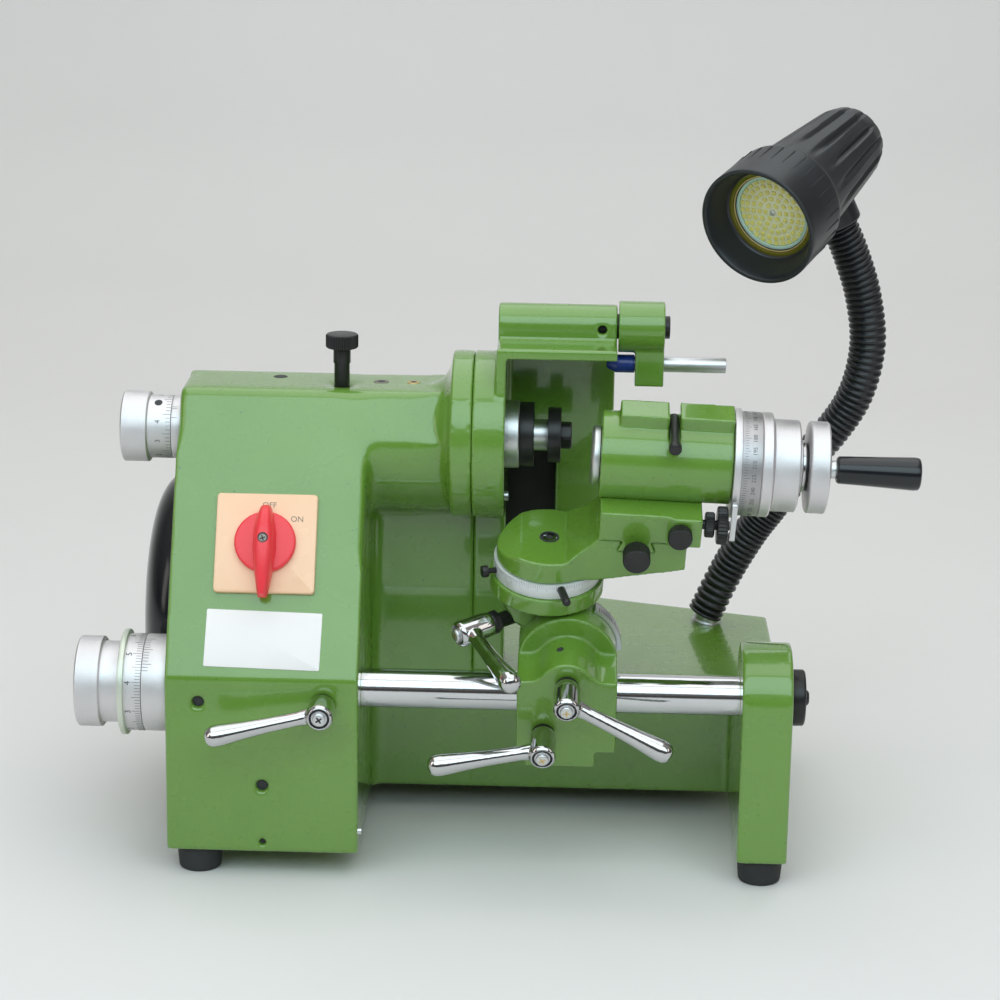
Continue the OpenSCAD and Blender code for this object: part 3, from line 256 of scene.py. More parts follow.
# %% Blacks, plastics and inks
def plain(name, slot, low, high, gloss, spread, scale, grain, metallic=0.0):
    start, spot, feed = finish(name, slot, Metallic=metallic)
    cloud = noise(start, spot, scale, 4)
    feed("Base Color", cloud.mix((*low, 1), (*high, 1)))
    feed("Roughness", gloss + cloud * spread)
    feed("Normal", bump(start, noise(start, spot, 1500, 2) + cloud, grain, 0.0003))


def ink(name, slot, low, high):
    plain(name, slot, low, high, 0.5, 0.2, 80, 0.02)


plain("black oxide", "black_oxide", (0.012, 0.012, 0.014), (0.035, 0.033, 0.032), 0.22, 0.25, 60, 0.12, 0.35)
plain("black plastic", "black_plastic", (0.008, 0.009, 0.011), (0.020, 0.022, 0.027), 0.26, 0.2, 30, 0.15)
plain("hose black", "black_plastic", (0.007, 0.008, 0.010), (0.016, 0.017, 0.020), 0.22, 0.16, 50, 0.2)
plain("rubber", "black_rubber", (0.012, 0.012, 0.013), (0.040, 0.040, 0.041), 0.62, 0.2, 45, 0.35)
plain("motor iron", "motor_iron", (0.02, 0.02, 0.022), (0.05, 0.05, 0.053), 0.45, 0.2, 40, 0.4)
plain("gloss black", "black_plastic", (0.006, 0.007, 0.009), (0.014, 0.015, 0.019), 0.12, 0.12, 18, 0.05)
plain("cream plastic", "cream_plastic", (0.94, 0.58, 0.36), (0.97, 0.66, 0.45), 0.20, 0.15, 20, 0.04)
plain("red plastic", "red_plastic", (0.84, 0.034, 0.05), (0.94, 0.055, 0.07), 0.20, 0.18, 30, 0.06)
plain("blue enamel", "blue_paint", (0.010, 0.028, 0.19), (0.020, 0.050, 0.29), 0.18, 0.15, 60, 0.08)
plain("white card", "green_paint", (0.88, 0.83, 0.82), (0.92, 0.87, 0.86), 0.30, 0.15, 40, 0.03)
plain("pale ring", "bare_steel", (0.62, 0.66, 0.56), (0.74, 0.76, 0.66), 0.32, 0.2, 60, 0.08, 0.55)
plain("scale white", "bare_steel", (0.70, 0.71, 0.72), (0.80, 0.81, 0.82), 0.33, 0.2, 90, 0.08, 0.45)
plain("bulb yellow", "lamp_glass", (0.70, 0.62, 0.12), (0.84, 0.78, 0.26), 0.22, 0.2, 200, 0.1)
plain("bulb plate", "lamp_glass", (0.70, 0.68, 0.42), (0.84, 0.83, 0.60), 0.30, 0.2, 120, 0.1)
# The rim's pale cyan is a painted reflection of the sky light. The reflector's yellow tint is its own, and
# its darkness is painted shade inside the lamp.
plain("bulb rim sky sheen", "lamp_glass", (0.46, 0.66, 0.62), (0.62, 0.78, 0.70), 0.10, 0.12, 25, 0.05, 0.3)
plain("shaded reflector", "lamp_glass", (0.10, 0.085, 0.008), (0.22, 0.19, 0.015), 0.10, 0.12, 25, 0.05, 0.4)
# Besides printed marks, this ink darkens screw sockets, cross slots, holes and recesses, where it is painted
# shade.
ink("ink", "black_oxide", (0.020, 0.020, 0.022), (0.045, 0.045, 0.05))
ink("scale ink", "black_oxide", (0.045, 0.046, 0.05), (0.085, 0.086, 0.09))
ink("dial ink", "bare_steel", (0.10, 0.10, 0.11), (0.16, 0.16, 0.17))
ink("faint ink", "bare_steel", (0.26, 0.27, 0.28), (0.36, 0.37, 0.38))
ink("grey ink", "cream_plastic", (0.16, 0.14, 0.13), (0.24, 0.21, 0.19))

# %% [markdown]
# ## Solids from outlines
#
# Most of this machine was made on a lathe, so most meshes are outlines spun about an axis.
# A solid here is just an array of points and a list of faces. Keeping solids as plain
# arrays lets one piece join several of them before Blender sees a mesh. `dressed` then
# gives a mesh its finish, puts it on a moving body and names the CAD nodes it stands for.


# %% Points, faces and pieces
def moved(solid, place):
    points, faces = solid
    grid = np.array(place)
    return np.asarray(points, float) @ grid[:3, :3].T + grid[:3, 3], faces


def placed(place, *solids):
    return [moved(solid, place) for solid in solids]


def joined(name, solids):
    points, faces, count = [], [], 0
    for some, sides in solids:
        points.append(np.asarray(some, float))
        faces += [[i + count for i in side] for side in sides]
        count += len(some)
    mesh = bpy.data.meshes.new(name)
    mesh.from_pydata((np.vstack(points) * MM).tolist(), [], faces)
    shell = bmesh.new()
    shell.from_mesh(mesh)
    bmesh.ops.recalc_face_normals(shell, faces=shell.faces)
    shell.to_mesh(mesh)
    shell.free()
    return mesh


def dressed(name, mesh, finish_name, body, *stands_for, crease=32):
    mesh.polygons.foreach_set("use_smooth", [True] * len(mesh.polygons))
    mesh.set_sharp_from_angle(angle=radians(crease))
    mesh.materials.clear()
    mesh.materials.append(finishes[finish_name])
    made = in_scene(name, mesh)
    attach(made, body)
    if stands_for:
        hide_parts(*stands_for)
    print(f"{name}: {finish_name}, rides on {body}, {len(mesh.polygons)} faces")


def piece(name, solids, finish_name, body, *stands_for, crease=32):
    dressed(name, joined(name, solids), finish_name, body, *stands_for, crease=crease)


print("finishes to dress with:", len(finishes))

# %% [markdown]
# `turned` spins an outline of (along, radius) pairs about the X axis. `eased` rounds the
# outline's corners first, because no real edge is perfectly sharp and a small round is what
# catches the light. A ripple may push each point in or out, for knurls and flutes. Since
# lathe work lies along X, three turns stand it up or point it into a wall or out of one.

# %% Lathe work
upright, inward, outward = turn(-90, "Y"), turn(90, "Z"), turn(-90, "Z")


def eased(outline, size):
    outline = [Vector(p) for p in outline]
    soft = [outline[0]]
    for before, corner, after in zip(outline, outline[1:], outline[2:]):
        back, on = before - corner, after - corner
        cut = min(size, back.length * 0.45, on.length * 0.45)
        first, last = corner + back.normalized() * cut, corner + on.normalized() * cut
        soft += [first, (first + last) * 0.25 + corner * 0.5, last]
    return [tuple(p) for p in soft + [outline[-1]]]


def stepped(outline, step):
    fine = [outline[0]]
    for (x0, r0), (x1, r1) in zip(outline, outline[1:]):
        parts = max(1, int(abs(x1 - x0) / step))
        fine += [(x0 + (x1 - x0) * k / parts, r0 + (r1 - r0) * k / parts) for k in range(1, parts + 1)]
    return fine


def turned(outline, sides=72, ripple=None, loop=False):
    angles = np.arange(sides) * 2 * pi / sides
    points, faces, rings = [], [], []
    for x, r in outline:
        if r < 1e-6:
            rings.append([len(points)])
            points.append((x, 0, 0))
            continue
        rings.append(list(range(len(points), len(points) + sides)))
        wide = ripple(x, r, angles) if ripple else np.full(sides, r)
        points += list(zip(np.full(sides, x), wide * np.cos(angles), wide * np.sin(angles)))
    pairs = list(zip(rings, rings[1:])) + ([(rings[-1], rings[0])] if loop else [])
    for a, b in pairs:
        for k in range(sides):
            n = (k + 1) % sides
            side = [a[k % len(a)], a[n % len(a)], b[n % len(b)], b[k % len(b)]]
            faces.append(list(dict.fromkeys(side)))
    return points, faces


def plug(outline, size=0.6, **more):
    ends = [(outline[0][0], 0)] + list(outline) + [(outline[-1][0], 0)]
    return turned(eased(ends, size), **more)


def ring(x0, x1, outer, inner, size=0.6):
    corners = [(x0, inner), (x0, outer), (x1, outer), (x1, inner)]
    return turned(eased([((x0 + x1) / 2, inner)] + corners, size), loop=True)


print("a plain washer has", len(ring(0, 2, 10, 5)[0]), "points")

# %% [markdown]
# Plates and lugs are slabs: a rounded rectangle lifted through four levels, the last two
# drawn in a little so that the upper edge is soft. Joining one loop of points to the next
# also serves the switch handle and the lamp's hose, so that part is a helper of its own.


# %% Slabs with rounded corners
def lofted(loops):
    n, last = len(loops[0]), len(loops) - 1
    faces = [[a * n + k, a * n + (k + 1) % n, (a + 1) * n + (k + 1) % n, (a + 1) * n + k]
             for a in range(last) for k in range(n)]
    faces += [list(range(n))[::-1], list(range(last * n, (last + 1) * n))]
    return [p for loop in loops for p in loop], faces


def slab(wide, tall, thick, corner, edge, sides=6):
    def loop(inset, z):
        w, h, r = wide / 2 - inset, tall / 2 - inset, max(corner - inset, 0.1)
        return [(sx * (w - r) + r * cos(a), sy * (h - r) + r * sin(a), z)
                for sx, sy, a0 in ((1, 1, 0), (-1, 1, pi / 2), (-1, -1, pi), (1, -1, 3 * pi / 2))
                for a in (a0 + k * pi / 2 / sides for k in range(sides + 1))]
    soft = edge * 0.3
    return lofted([loop(0, 0), loop(0, thick - edge), loop(soft, thick - soft), loop(edge, thick)])


print("a slab has", len(slab(4, 2, 1, 0.3, 0.1)[1]), "faces")

# %% [markdown]
# ## Castings
#
# The body was poured into sand, so no edge is sharp and every inner corner has a fillet.
# Bevelling a CAD mesh edge by edge is fragile where many cuts meet. Instead the solid is
# rebuilt as an even skin of small squares and relaxed a few times. Flat walls stay flat,
# edges and corners round off by themselves, and a last pass thins the flat areas.
# `rounded` relaxes one region more, fading in over a margin so that it leaves no kink.
# `pressed` pushes a mating face flat again where two castings slide on each other.

# %% Soft skins over CAD solids
MARGIN = 14


def settled(holder):
    return bpy.data.meshes.new_from_object(holder.evaluated_get(bpy.context.evaluated_depsgraph_get()))


def rounded(mesh, low, high, passes):
    shell = bmesh.new()
    shell.from_mesh(mesh)
    low, high = machine @ Vector(low) * MM, machine @ Vector(high) * MM
    deep = [(v, min(min(v.co[k] - low[k], high[k] - v.co[k]) for k in range(3)) / (MARGIN * MM))
            for v in shell.verts]
    for k in range(passes):
        inside = [v for v, depth in deep if depth > k / passes]
        bmesh.ops.smooth_vert(shell, verts=inside, factor=0.5,
                              use_axis_x=True, use_axis_y=True, use_axis_z=True)
    shell.to_mesh(mesh)
    shell.free()


def pressed(mesh, place, y, clear):
    for point in mesh.vertices:
        x, at, z = place.inverted() @ (point.co / MM)
        if abs(at - y) < 1 and x * x + z * z > clear * clear:
            point.co = place @ Vector((x, y, z)) * MM


def skinned(name, mesh, grain, rounds, keep, soft_edges=()):
    rough = in_scene(name + "_core", mesh)
    skin = rough.modifiers.new("skin", "REMESH")
    skin.mode, skin.voxel_size = "VOXEL", grain * MM
    relax = rough.modifiers.new("relax", "SMOOTH")
    relax.factor, relax.iterations = 0.5, rounds
    fine = settled(rough)
    for edge in soft_edges:
        rounded(fine, *edge)
    rough.modifiers.clear()
    rough.data = fine
    rough.modifiers.new("thin", "DECIMATE").ratio = keep
    done = settled(rough)
    bpy.data.objects.remove(rough)
    return done


print("skins fade in over", MARGIN, "mm")

# %% [markdown]
# Each casting stands for its CAD nodes. The body's four nodes are joined first, because the
# real body is one pour, and two boxes mark the headstock edges that were ground rounder.
# The tilting bracket gains the round skirt that carries the swivel ring. Its face to the
# carriage and the carriage's own face are pressed flat, about half a millimetre apart.


# %% Green castings
def cast(name, sources, body, grain=0.8, rounds=7, keep=0.3, soft_edges=(), extra=None, flush=None):
    shell = bmesh.new()
    for source in sources:
        shell.from_mesh(nodes[source].data)
    if extra:
        added = bpy.data.meshes.new(name + "_extra")
        added.from_pydata((extra[0] * MM).tolist(), [], extra[1])
        shell.from_mesh(added)
    mesh = bpy.data.meshes.new(name + "_core")
    shell.to_mesh(mesh)
    shell.free()
    soft = skinned(name, mesh, grain, rounds, keep, soft_edges)
    if flush:
        pressed(soft, *flush)
    dressed(name, soft, "green enamel", body, *sources, crease=60)


UPPER_EDGE = (-20, 40, 262), (128, 145, 330), 45
RIGHT_EDGE = (100, -20, 195), (164, 160, 330), 34
CARRIAGE_FACE, BRACKET_FACE, PIVOT = 17.95, 18.4, 24
BODY = ["headstock_casting", "spindle_barrel", "bed_casting", "end_bracket"]
cast("cast_body", BODY, "frame", 1.5, 9, 0.22, (UPPER_EDGE, RIGHT_EDGE))
cast("guard_casting", ["wheel_guard"], "frame", 1.1, 8)
cast("dresser_casting", ["dresser_link"], "dresser_arm", 0.7, 7, 0.35)
cast("carriage_casting", ["carriage_block"], "carriage", rounds=6, flush=(tilt, CARRIAGE_FACE, 0))
skirt = [(9, 0), (9, 18), (12, 23), (18, 28), (28, 31.5), (36.5, 34), (36.5, 0)]
points, faces = moved(turned(skirt), shift(-16, 39, 0) @ upright)
points[:, 1] = np.maximum(points[:, 1], BRACKET_FACE + 0.1)
cast("bracket_casting", ["tilt_bracket"], "tilt", extra=moved((points, faces), tilt),
     flush=(tilt, BRACKET_FACE, PIVOT))
cast("arm_casting", ["swivel_arm"], "arm", rounds=10)
cast("saddle_casting", ["workhead_saddle"], "workhead")
cast("workhead_casting", ["workhead_body"], "workhead")

# %% [markdown]
# ## Clamp levers
#
# Four bright levers lock the slides. Each is a hub on a stud with an arm that thickens to
# a rounded end. The hub and arm are spun separately, then skinned and relaxed together so
# that they flow into each other like a polished casting. A screw sits in the hub.

# %% Levers
HUB_R, FOOT, FACE, ARM_UP, RISE = 8.5, 3, 28, 18, 12


def lever(name, place, stud, screw_finish):
    seat = place @ upright
    hub = [(FOOT, 0), (FOOT, HUB_R - 0.6), (FOOT + 5, HUB_R), (FACE - 2, HUB_R), (FACE, HUB_R - 2),
           (FACE, 6.4), (FACE - 2.6, 6.2), (FACE - 2.6, 0)]
    arm = [(0, 0), (0, 5.2), (8, 5.4), (14, 4.6), (34, 4.9), (48, 5.6), (58, 6.5), (65, 7.0),
           (69, 6.6), (71.5, 5.2), (72.8, 3), (73.2, 0)]
    both = [moved(turned(eased(hub, 0.9), sides=40), seat),
            moved(turned(arm, sides=32), place @ shift(0, 0, ARM_UP) @ turn(-RISE, "Y"))]
    soft = skinned(name, joined(name, both), 0.55, 5, 0.4)
    dressed(name, soft, "chrome", name, name + "_lever", crease=70)
    # The dark ring round the screw head is painted shade for the well it sits in. Where the cross is ink, it
    # is painted shade for the screw's slots.
    well = turned([(FACE - 2.3, 0), (FACE - 2.3, 5.9), (FACE - 2.0, 5.9), (FACE - 2.0, 0)], sides=32)
    piece(name + "_well", placed(seat, well), "ink", name)
    washer = plug([(FACE - 2.2, 5.0), (FACE - 0.6, 5.0)], 0.4, sides=32)
    head = plug([(FACE - 1, 4.2), (FACE + 1.2, 4.2), (FACE + 1.9, 3.2)], 0.6, sides=28)
    piece(name + "_screw", placed(seat, washer, head), "satin steel", name)
    slot = slab(4.6, 1.1, 0.25, 0.3, 0.1)
    cross = [moved(slot, place @ shift(0, 0, FACE + 1.75) @ turn(a, "Z")) for a in (25, 115)]
    piece(name + "_cross", cross, screw_finish, name)
    neck = plug([(-stud, 5), (0.2, 5), (0.2, 7.2), (FOOT + 0.4, 7.2)], 0.5, sides=32)
    piece(name + "_stud", placed(seat, neck), "black oxide", name)


front = turn(90, "X")
stud_frame = swivel @ shift(0, 0, 18) @ turn(36, "Z") @ shift(-40, 0, 0) @ upright
lever("bar_lock", bar @ shift(100, -35.3, 0) @ front @ turn(190, "Z"), 22, "ink")
lever("tilt_lock", carriage @ shift(0, -28.3, 25.5) @ front @ turn(-23, "Z"), 22, "brass")
lever("carriage_clamp", carriage @ shift(-14.5, -28.3, -11.5) @ front @ turn(183, "Z"), 15.4, "brass")
lever("swivel_clamp", stud_frame @ turn(275, "Z"), 27, "brass")
collar = turned(eased([(-3.5, 0), (-3.5, 6.6), (-2.9, 7.6), (1.9, 7.6), (2.5, 6.6), (2.5, 0)], 0.3), 6)
piece("clamp_collar", placed(stud_frame @ upright, collar), "black oxide", "swivel_clamp", crease=25)

# %% [markdown]
# ## Scales and numbers
#
# A dial is only a dial once it has marks. Each mark is a thin bar let into the drum, and
# each number is a text curve turned into a mesh and wrapped round the cylinder. Real
# geometry keeps the marks crisp at any distance, where a painted texture would blur.


# %% Marks and numbers
def marks(radius, lines, height=0.05):
    points, faces = [], []
    for angle, x0, x1, wide in lines:
        a, half = radians(angle), wide / 2 / radius
        count = len(points)
        for r in (radius - 0.3, radius + height):
            for x in (x0, x1):
                for side in (a - half, a + half):
                    points.append((x, r * cos(side), r * sin(side)))
        faces += [[count + i for i in side] for side in (
            (0, 1, 3, 2), (4, 6, 7, 5), (0, 4, 5, 1), (2, 3, 7, 6), (0, 2, 6, 4), (1, 5, 7, 3))]
    return points, faces


letter_store = {}


def letters(text, size):
    if text not in letter_store:
        curve = bpy.data.curves.new("letters", "FONT")
        curve.body, curve.align_x, curve.align_y, curve.extrude = text, "CENTER", "CENTER", 0.06
        curve.resolution_u = 3
        holder = in_scene("letters", curve)
        mesh = settled(holder)
        letter_store[text] = [tuple(v.co) for v in mesh.vertices], [list(p.vertices) for p in mesh.polygons]
        bpy.data.objects.remove(holder)
    points, faces = letter_store[text]
    return [(x * size, y * size, z) for x, y, z in points], faces


def wrapped(text, size, radius, angle, x):
    points, faces = letters(text, size)
    bent = []
    for along, tall, deep in points:
        a, r = radians(angle) - along / radius, radius + deep
        bent.append((x - tall, r * cos(a), r * sin(a)))
    return bent, faces


print("a mark has", len(marks(10, [(0, 0, 1, 0.2)])[1]), "faces")

# %% [markdown]
# ## Work spindle
#
# The workhead's spindle ends in a nose that takes the collet. At its right end are a rim,
# a degree dial, a knurled collar and a handwheel with a crank. The dial counts a full turn
# with a mark at every third degree and a number at every fifteenth. Knurls are a ripple of
# two crossing cosines on the lathe outline, so the diamonds are real and catch the light.

# %% Nose, dial, collar and handwheel
NOSE, SEAT, DIAL, DRUM, BAND, COLLAR = 23.3, 28.3, 110.9, 115.4, 128, 135.4  # places along the axis
HUB, WHEEL, GRIP = 152.4, 158.4, 174.9
SHAFT, DRUM_R = 14.04, 32.7


def diamond_knurl(teeth, depth, x0, x1, pitch):
    def push(x, r, a):
        if not x0 <= x <= x1:
            return np.full_like(a, r)
        near, lean = teeth * a / 2, pi * x / pitch
        ridges = np.maximum(np.abs(np.cos(near + lean)), np.abs(np.cos(near - lean)))
        return r - depth * (1 - ridges)
    return push


def knurled(x0, x1, radius, inner=SHAFT):
    low = radius - 1
    outline = [(x0, inner), (x0, low), (x0 + 1, radius), (x1 - 1, radius), (x1, low), (x1, inner)]
    teeth = round(radius * 3.4)
    cut = diamond_knurl(teeth, 0.34, x0 + 1.1, x1 - 1.1, 2 * pi * radius / teeth)
    return turned(stepped(eased(outline, 0.3), 0.45), teeth * 4, cut, True)


nose = [(NOSE + 45, 0), (NOSE + 45, 9), (NOSE + 2, 9), (NOSE, 11), (NOSE, 17.5), (NOSE + 1.5, 19),
        (SEAT, 19), (SEAT, 14), (WHEEL + 12.5, 14), (WHEEL + 12.5, 0)]
piece("work_spindle_turned", placed(work, turned(eased(nose, 0.5))), "satin steel", "work_line",
      "work_spindle")
piece("dial_rim", placed(work, ring(DIAL, DRUM, 34.5, SHAFT), knurled(BAND, COLLAR, 33)),
      "dull silver", "work_line", "index_dial")
piece("dial_scale", placed(work, ring(DRUM, BAND, DRUM_R, SHAFT, 0.2)), "scale grey", "work_line")
ticks = [(degree, DRUM + 1.4, DRUM + (5.2 if degree % 15 == 0 else 3.8), 0.24) for degree in range(0, 360, 3)]
figures = [wrapped(str(degree), 3.7, DRUM_R, degree - 60, DRUM + 8) for degree in range(0, 360, 15)]
piece("dial_marks", placed(work, marks(DRUM_R, ticks)), "dial ink", "work_line")
piece("dial_numbers", placed(work, *figures), "dial ink", "work_line")
piece("collar_knurled", placed(work, knurled(COLLAR, HUB, 29)), "dull silver", "work_line", "dial_collar")
piece("handwheel_rim", placed(work, knurled(WHEEL, WHEEL + 12.5, 29), ring(HUB, HUB + 2.2, 17, SHAFT)),
      "dull silver", "work_line", "handwheel")
piece("wheel_washer", placed(work, ring(HUB + 2.2, HUB + 4.4, 16.5, SHAFT)), "chrome", "work_line")
# The black ring between the washer and the handwheel is painted shade for the narrow gap there.
piece("wheel_gap_shade", placed(work, ring(HUB + 4.4, WHEEL, 15, SHAFT)), "black oxide", "work_line")

# %% [markdown]
# The crank is a steel pin near the handwheel's edge with a loose black grip. The grip is
# its own body, because it turns on the pin, so it is hollow and has a little clearance.

# %% Crank
CRANK_R, CRANK_TURN = 20.5, radians(61)
crank = work @ shift(0, -CRANK_R * sin(CRANK_TURN), CRANK_R * cos(CRANK_TURN))
piece("crank_pin", placed(crank, plug([(WHEEL + 12, 4), (GRIP + 49, 4)], 0.5),
                          ring(WHEEL + 12.4, GRIP - 0.2, 5.6, 3.9)), "satin steel", "work_line")
grip = [(GRIP + 50, 0), (GRIP + 50, 4.04), (GRIP, 4.04), (GRIP, 7.6), (GRIP + 1.2, 8.6), (GRIP + 12, 8.9),
        (GRIP + 30, 9.6), (GRIP + 48, 10.4), (GRIP + 51, 10), (GRIP + 52, 8.4), (GRIP + 52, 0)]
piece("crank_handle", placed(crank, turned(eased(grip, 0.6))), "gloss black", "crank", "crank_grip")

# %% [markdown]
# ## Wheel spindle
#
# The grinding wheel is off, so its bright seat shows between two black flanges. The nose
# behind them is bare steel. The flanges and nut are blackened against rust. The nut is a
# round outline held inside six flats.

# %% Wheel spindle, flanges and nut
SEAT_R, NUT_FLAT = 10.04, 8.3
shaft = [(34.3, 8), (208, 8), (208, 21.2), (208.8, 22), (217.8, 22), (218.5, 21.3), (218.5, 10), (243, 10),
         (243.2, 6), (252.5, 6)]
piece("wheel_spindle_turned", placed(spindle, plug(shaft, 0.3)), "satin steel", "spindle", "wheel_spindle")
piece("flange_pair", placed(spindle, ring(218.5, 228, 21, SEAT_R, 0.8), ring(237, 245.5, 18, SEAT_R, 0.8)),
      "black oxide", "spindle", "wheel_flanges")


def six_flats(x, r, a):
    return np.minimum(r, NUT_FLAT / np.cos((a % (pi / 3)) - pi / 6))


nut = eased([(245.5, 6.04), (245.5, 9), (251.5, 9), (252.5, 7.8), (252.5, 6.04)], 0.4)
piece("wheel_nut", placed(spindle, turned(nut, 72, six_flats, True)), "black oxide", "spindle", "spindle_nut")

# %% [markdown]
# ## Feed knobs and the micrometer
#
# Two turned silver knobs stand out of the left wall. The upper one feeds the wheel, with a
# graduated sleeve and a tommy-bar hole. Both knobs carry evenly spaced marks, longer at
# every fifth, and the figures 0 to 9, so one helper graduates them.

# %% Spindle feed
FEED_R = 20.5


def graduated(name, place, body, radius, count, edge, short, size, four_at, x):
    ticks = [(360 / count * k, edge - short - (2 if k % 5 == 0 else 0), edge, 0.26) for k in range(count)]
    figures = [wrapped(str(k), size, radius, four_at + 36 * (4 - k), x) for k in range(10)]
    piece(name, placed(place, marks(radius, ticks), *figures), "scale ink", body)


piece("feed_sleeve", placed(spindle, ring(-6, 0, FEED_R, 6.04, 0.3)), "dull silver", "frame",
      "spindle_feed_sleeve")
index = [(a, -5.7, -2.2, 0.3) for a in (128, 132, 150)]
piece("feed_index", placed(spindle, marks(FEED_R, index)), "scale ink", "frame")
knob = [(-38.6, 21), (-21.5, 21), (-21.5, FEED_R), (-6.3, FEED_R), (-6.3, 6), (29, 6)]
piece("feed_knob_turned", placed(spindle, plug(knob, 0.4), knurled(-38.8, -21.3, 23, 20.8)), "dull silver",
      "feed_knob", "spindle_feed_knob")
graduated("feed_marks", spindle, "feed_knob", FEED_R, 50, -6.5, 3.1, 4.6, 158, -14.6)
# The tommy-bar hole is a thin dark disc at the knob's surface, painted shade for the hole.
hole = spindle @ shift(-15, 0, 0) @ turn(118, "X") @ inward
piece("feed_hole", placed(hole, plug([(20.0, 2.6), (20.62, 2.6)], 0.1, sides=24)), "ink", "feed_knob")

# %% [markdown]
# The lower knob is a micrometer that feeds the bar: a fixed sleeve with index lines, and a
# thimble with a pale flange and a hundred marks, which turns on its own body.

# %% Bar micrometer
THIMBLE_R = 31
piece("micrometer_sleeve", placed(bar, ring(-15.5, 0, THIMBLE_R, 6.04, 0.3)), "dull silver", "frame",
      "bar_feed_sleeve")
index = [(a, -15.2, -11.5 if a % 20 else -9.5, 0.3) for a in range(100, 150, 4)]
piece("micrometer_index", placed(bar, marks(THIMBLE_R, index)), "scale ink", "frame")
thimble = [(-58.6, 27), (-43, 27), (-43, 26), (-30.8, 26), (-30.8, THIMBLE_R), (-15.8, THIMBLE_R), (-15.8, 6),
           (26, 6)]
piece("micrometer_thimble", placed(bar, plug(thimble, 0.4), knurled(-58.8, -42.8, 29, 26.8)), "dull silver",
      "bar_thimble", "bar_feed_thimble")
piece("micrometer_flange", placed(bar, ring(-30.8, -26.8, 34, 30.8, 1.9)), "pale ring", "bar_thimble")
graduated("micrometer_marks", bar, "bar_thimble", THIMBLE_R, 100, -16, 3.6, 5.4, 163, -24)

# %% [markdown]
# ## Bar, cap and feet
#
# The bar itself is already right in CAD and only needs its ground finish. Its end has a
# black cap held by a button screw. The feet are tapered rubber pads with a lip.

# %% Bar end and feet
cap = plug([(395.3, 18), (403.2, 18), (404.3, 16.8)], 0.7)
piece("bar_cap", placed(bar, cap), "black oxide", "bar", "bar_end_cap")
button = turned(eased([(404.2, 0), (404.2, 5.2), (406, 5), (407.2, 3.6), (407.4, 0)], 0.5), 32)
piece("bar_cap_screw", placed(bar, button), "black oxide", "bar")
foot = plug([(0, 12.4), (1.2, 13.5), (12, 14.5), (13.2, 15), (17, 15)], 0.6, sides=48)
corners = ((19, 19), (379, 19), (19, 231), (379, 243))
piece("feet", [moved(foot, machine @ shift(x, y, 0) @ upright) for x, y in corners], "rubber", "frame",
      "rubber_feet")

# %% [markdown]
# ## Switch and plate
#
# A cream square carries a red rotary switch. The words OFF and ON are common to every
# switch of this kind. The knob is a disc with a tapered handle across it, lofted through
# eight sections. Below it sits a bare white card, a thin plate laid a little askew.

# %% Switch plate, words and knob
PLATE, CARD, WORD = 64, (73, 36.6), 5.2
plate = panel @ shift(60.5, 87, 0)
piece("switch_square", placed(plate, slab(PLATE, PLATE, 4, 2.5, 1.2)), "cream plastic", "frame",
      "switch_plate")
piece("switch_words", [moved(letters("OFF", WORD), plate @ shift(1.5, 24.3, 4.0)),
                       moved(letters("ON", WORD), plate @ shift(19.4, 15.6, 4.0))], "grey ink", "frame")
knob_at = plate @ shift(0, 0, 4.3)
knob_axis, screw_at = knob_at @ upright, knob_at @ shift(0, -0.5, 0)
disc = plug([(-4, 5), (0, 5), (0, 19.5), (4, 19.5), (5, 18.6)], 0.8)
sections = [(-36, 2.2, 4), (-34.8, 3.2, 8), (-22, 5.4, 12), (-6, 7.4, 14), (6, 7.2, 14), (16, 5.2, 11.5),
            (22, 3.4, 6), (23, 2.4, 3.5)]
rise = [(-1, 0), (-0.92, 0.55), (-0.62, 0.93), (-0.3, 1), (0.3, 1), (0.62, 0.93), (0.92, 0.55), (1, 0)]
handle = lofted([[(w * side, v, 4 + h * lift) for side, lift in rise] for v, w, h in sections])
piece("switch_turner", [moved(disc, knob_axis), moved(handle, knob_at)], "red plastic", "switch",
      "switch_knob", crease=50)
# The hole round the knob's screw and the cross in the screw's head are dark ink, painted shade for the hole
# and the slots.
well = plug([(17.5, 3.3), (18.15, 3.3)], 0.1, sides=24)
piece("switch_screw_hole", placed(knob_axis, well), "ink", "switch")
screw = plug([(17.8, 2.6), (18.6, 2.6)], 0.4, sides=24)
piece("switch_screw", placed(screw_at @ upright, screw), "dark steel", "switch")
slot = slab(3.8, 0.8, 0.2, 0.3, 0.1)
cross = [moved(slot, screw_at @ shift(0, 0, 18.5) @ turn(a, "Z")) for a in (20, 110)]
piece("switch_screw_cross", cross, "ink", "switch")
card_at = panel @ shift(61.2, 25.6, 0) @ turn(-1.2, "Z")
piece("blank_card", placed(card_at, slab(*CARD, 0.5, 1.0, 0.2)), "white card", "frame")

# %% [markdown]
# ## Small black knobs and screws
#
# Thumb screws and clamp knobs are blackened and straight-knurled for grip. Each has a plain
# stem, a chamfered head and fine teeth. The teeth are a cosine round the head that stops
# short of the chamfers.


# %% Knurled knobs
def knob_head(x0, x1, radius, teeth, depth=0.5):
    def push(x, r, a):
        return r - (depth * (0.5 + 0.5 * np.cos(teeth * a)) if x0 + 0.5 <= x <= x1 - 0.5 else 0)
    low = radius - 0.8
    outline = [(x0, 0), (x0, low), (x0 + 0.8, radius), (x1 - 0.8, radius), (x1, low), (x1, 0)]
    return turned(stepped(eased(outline, 0.3), 1.5), teeth * 4, push)


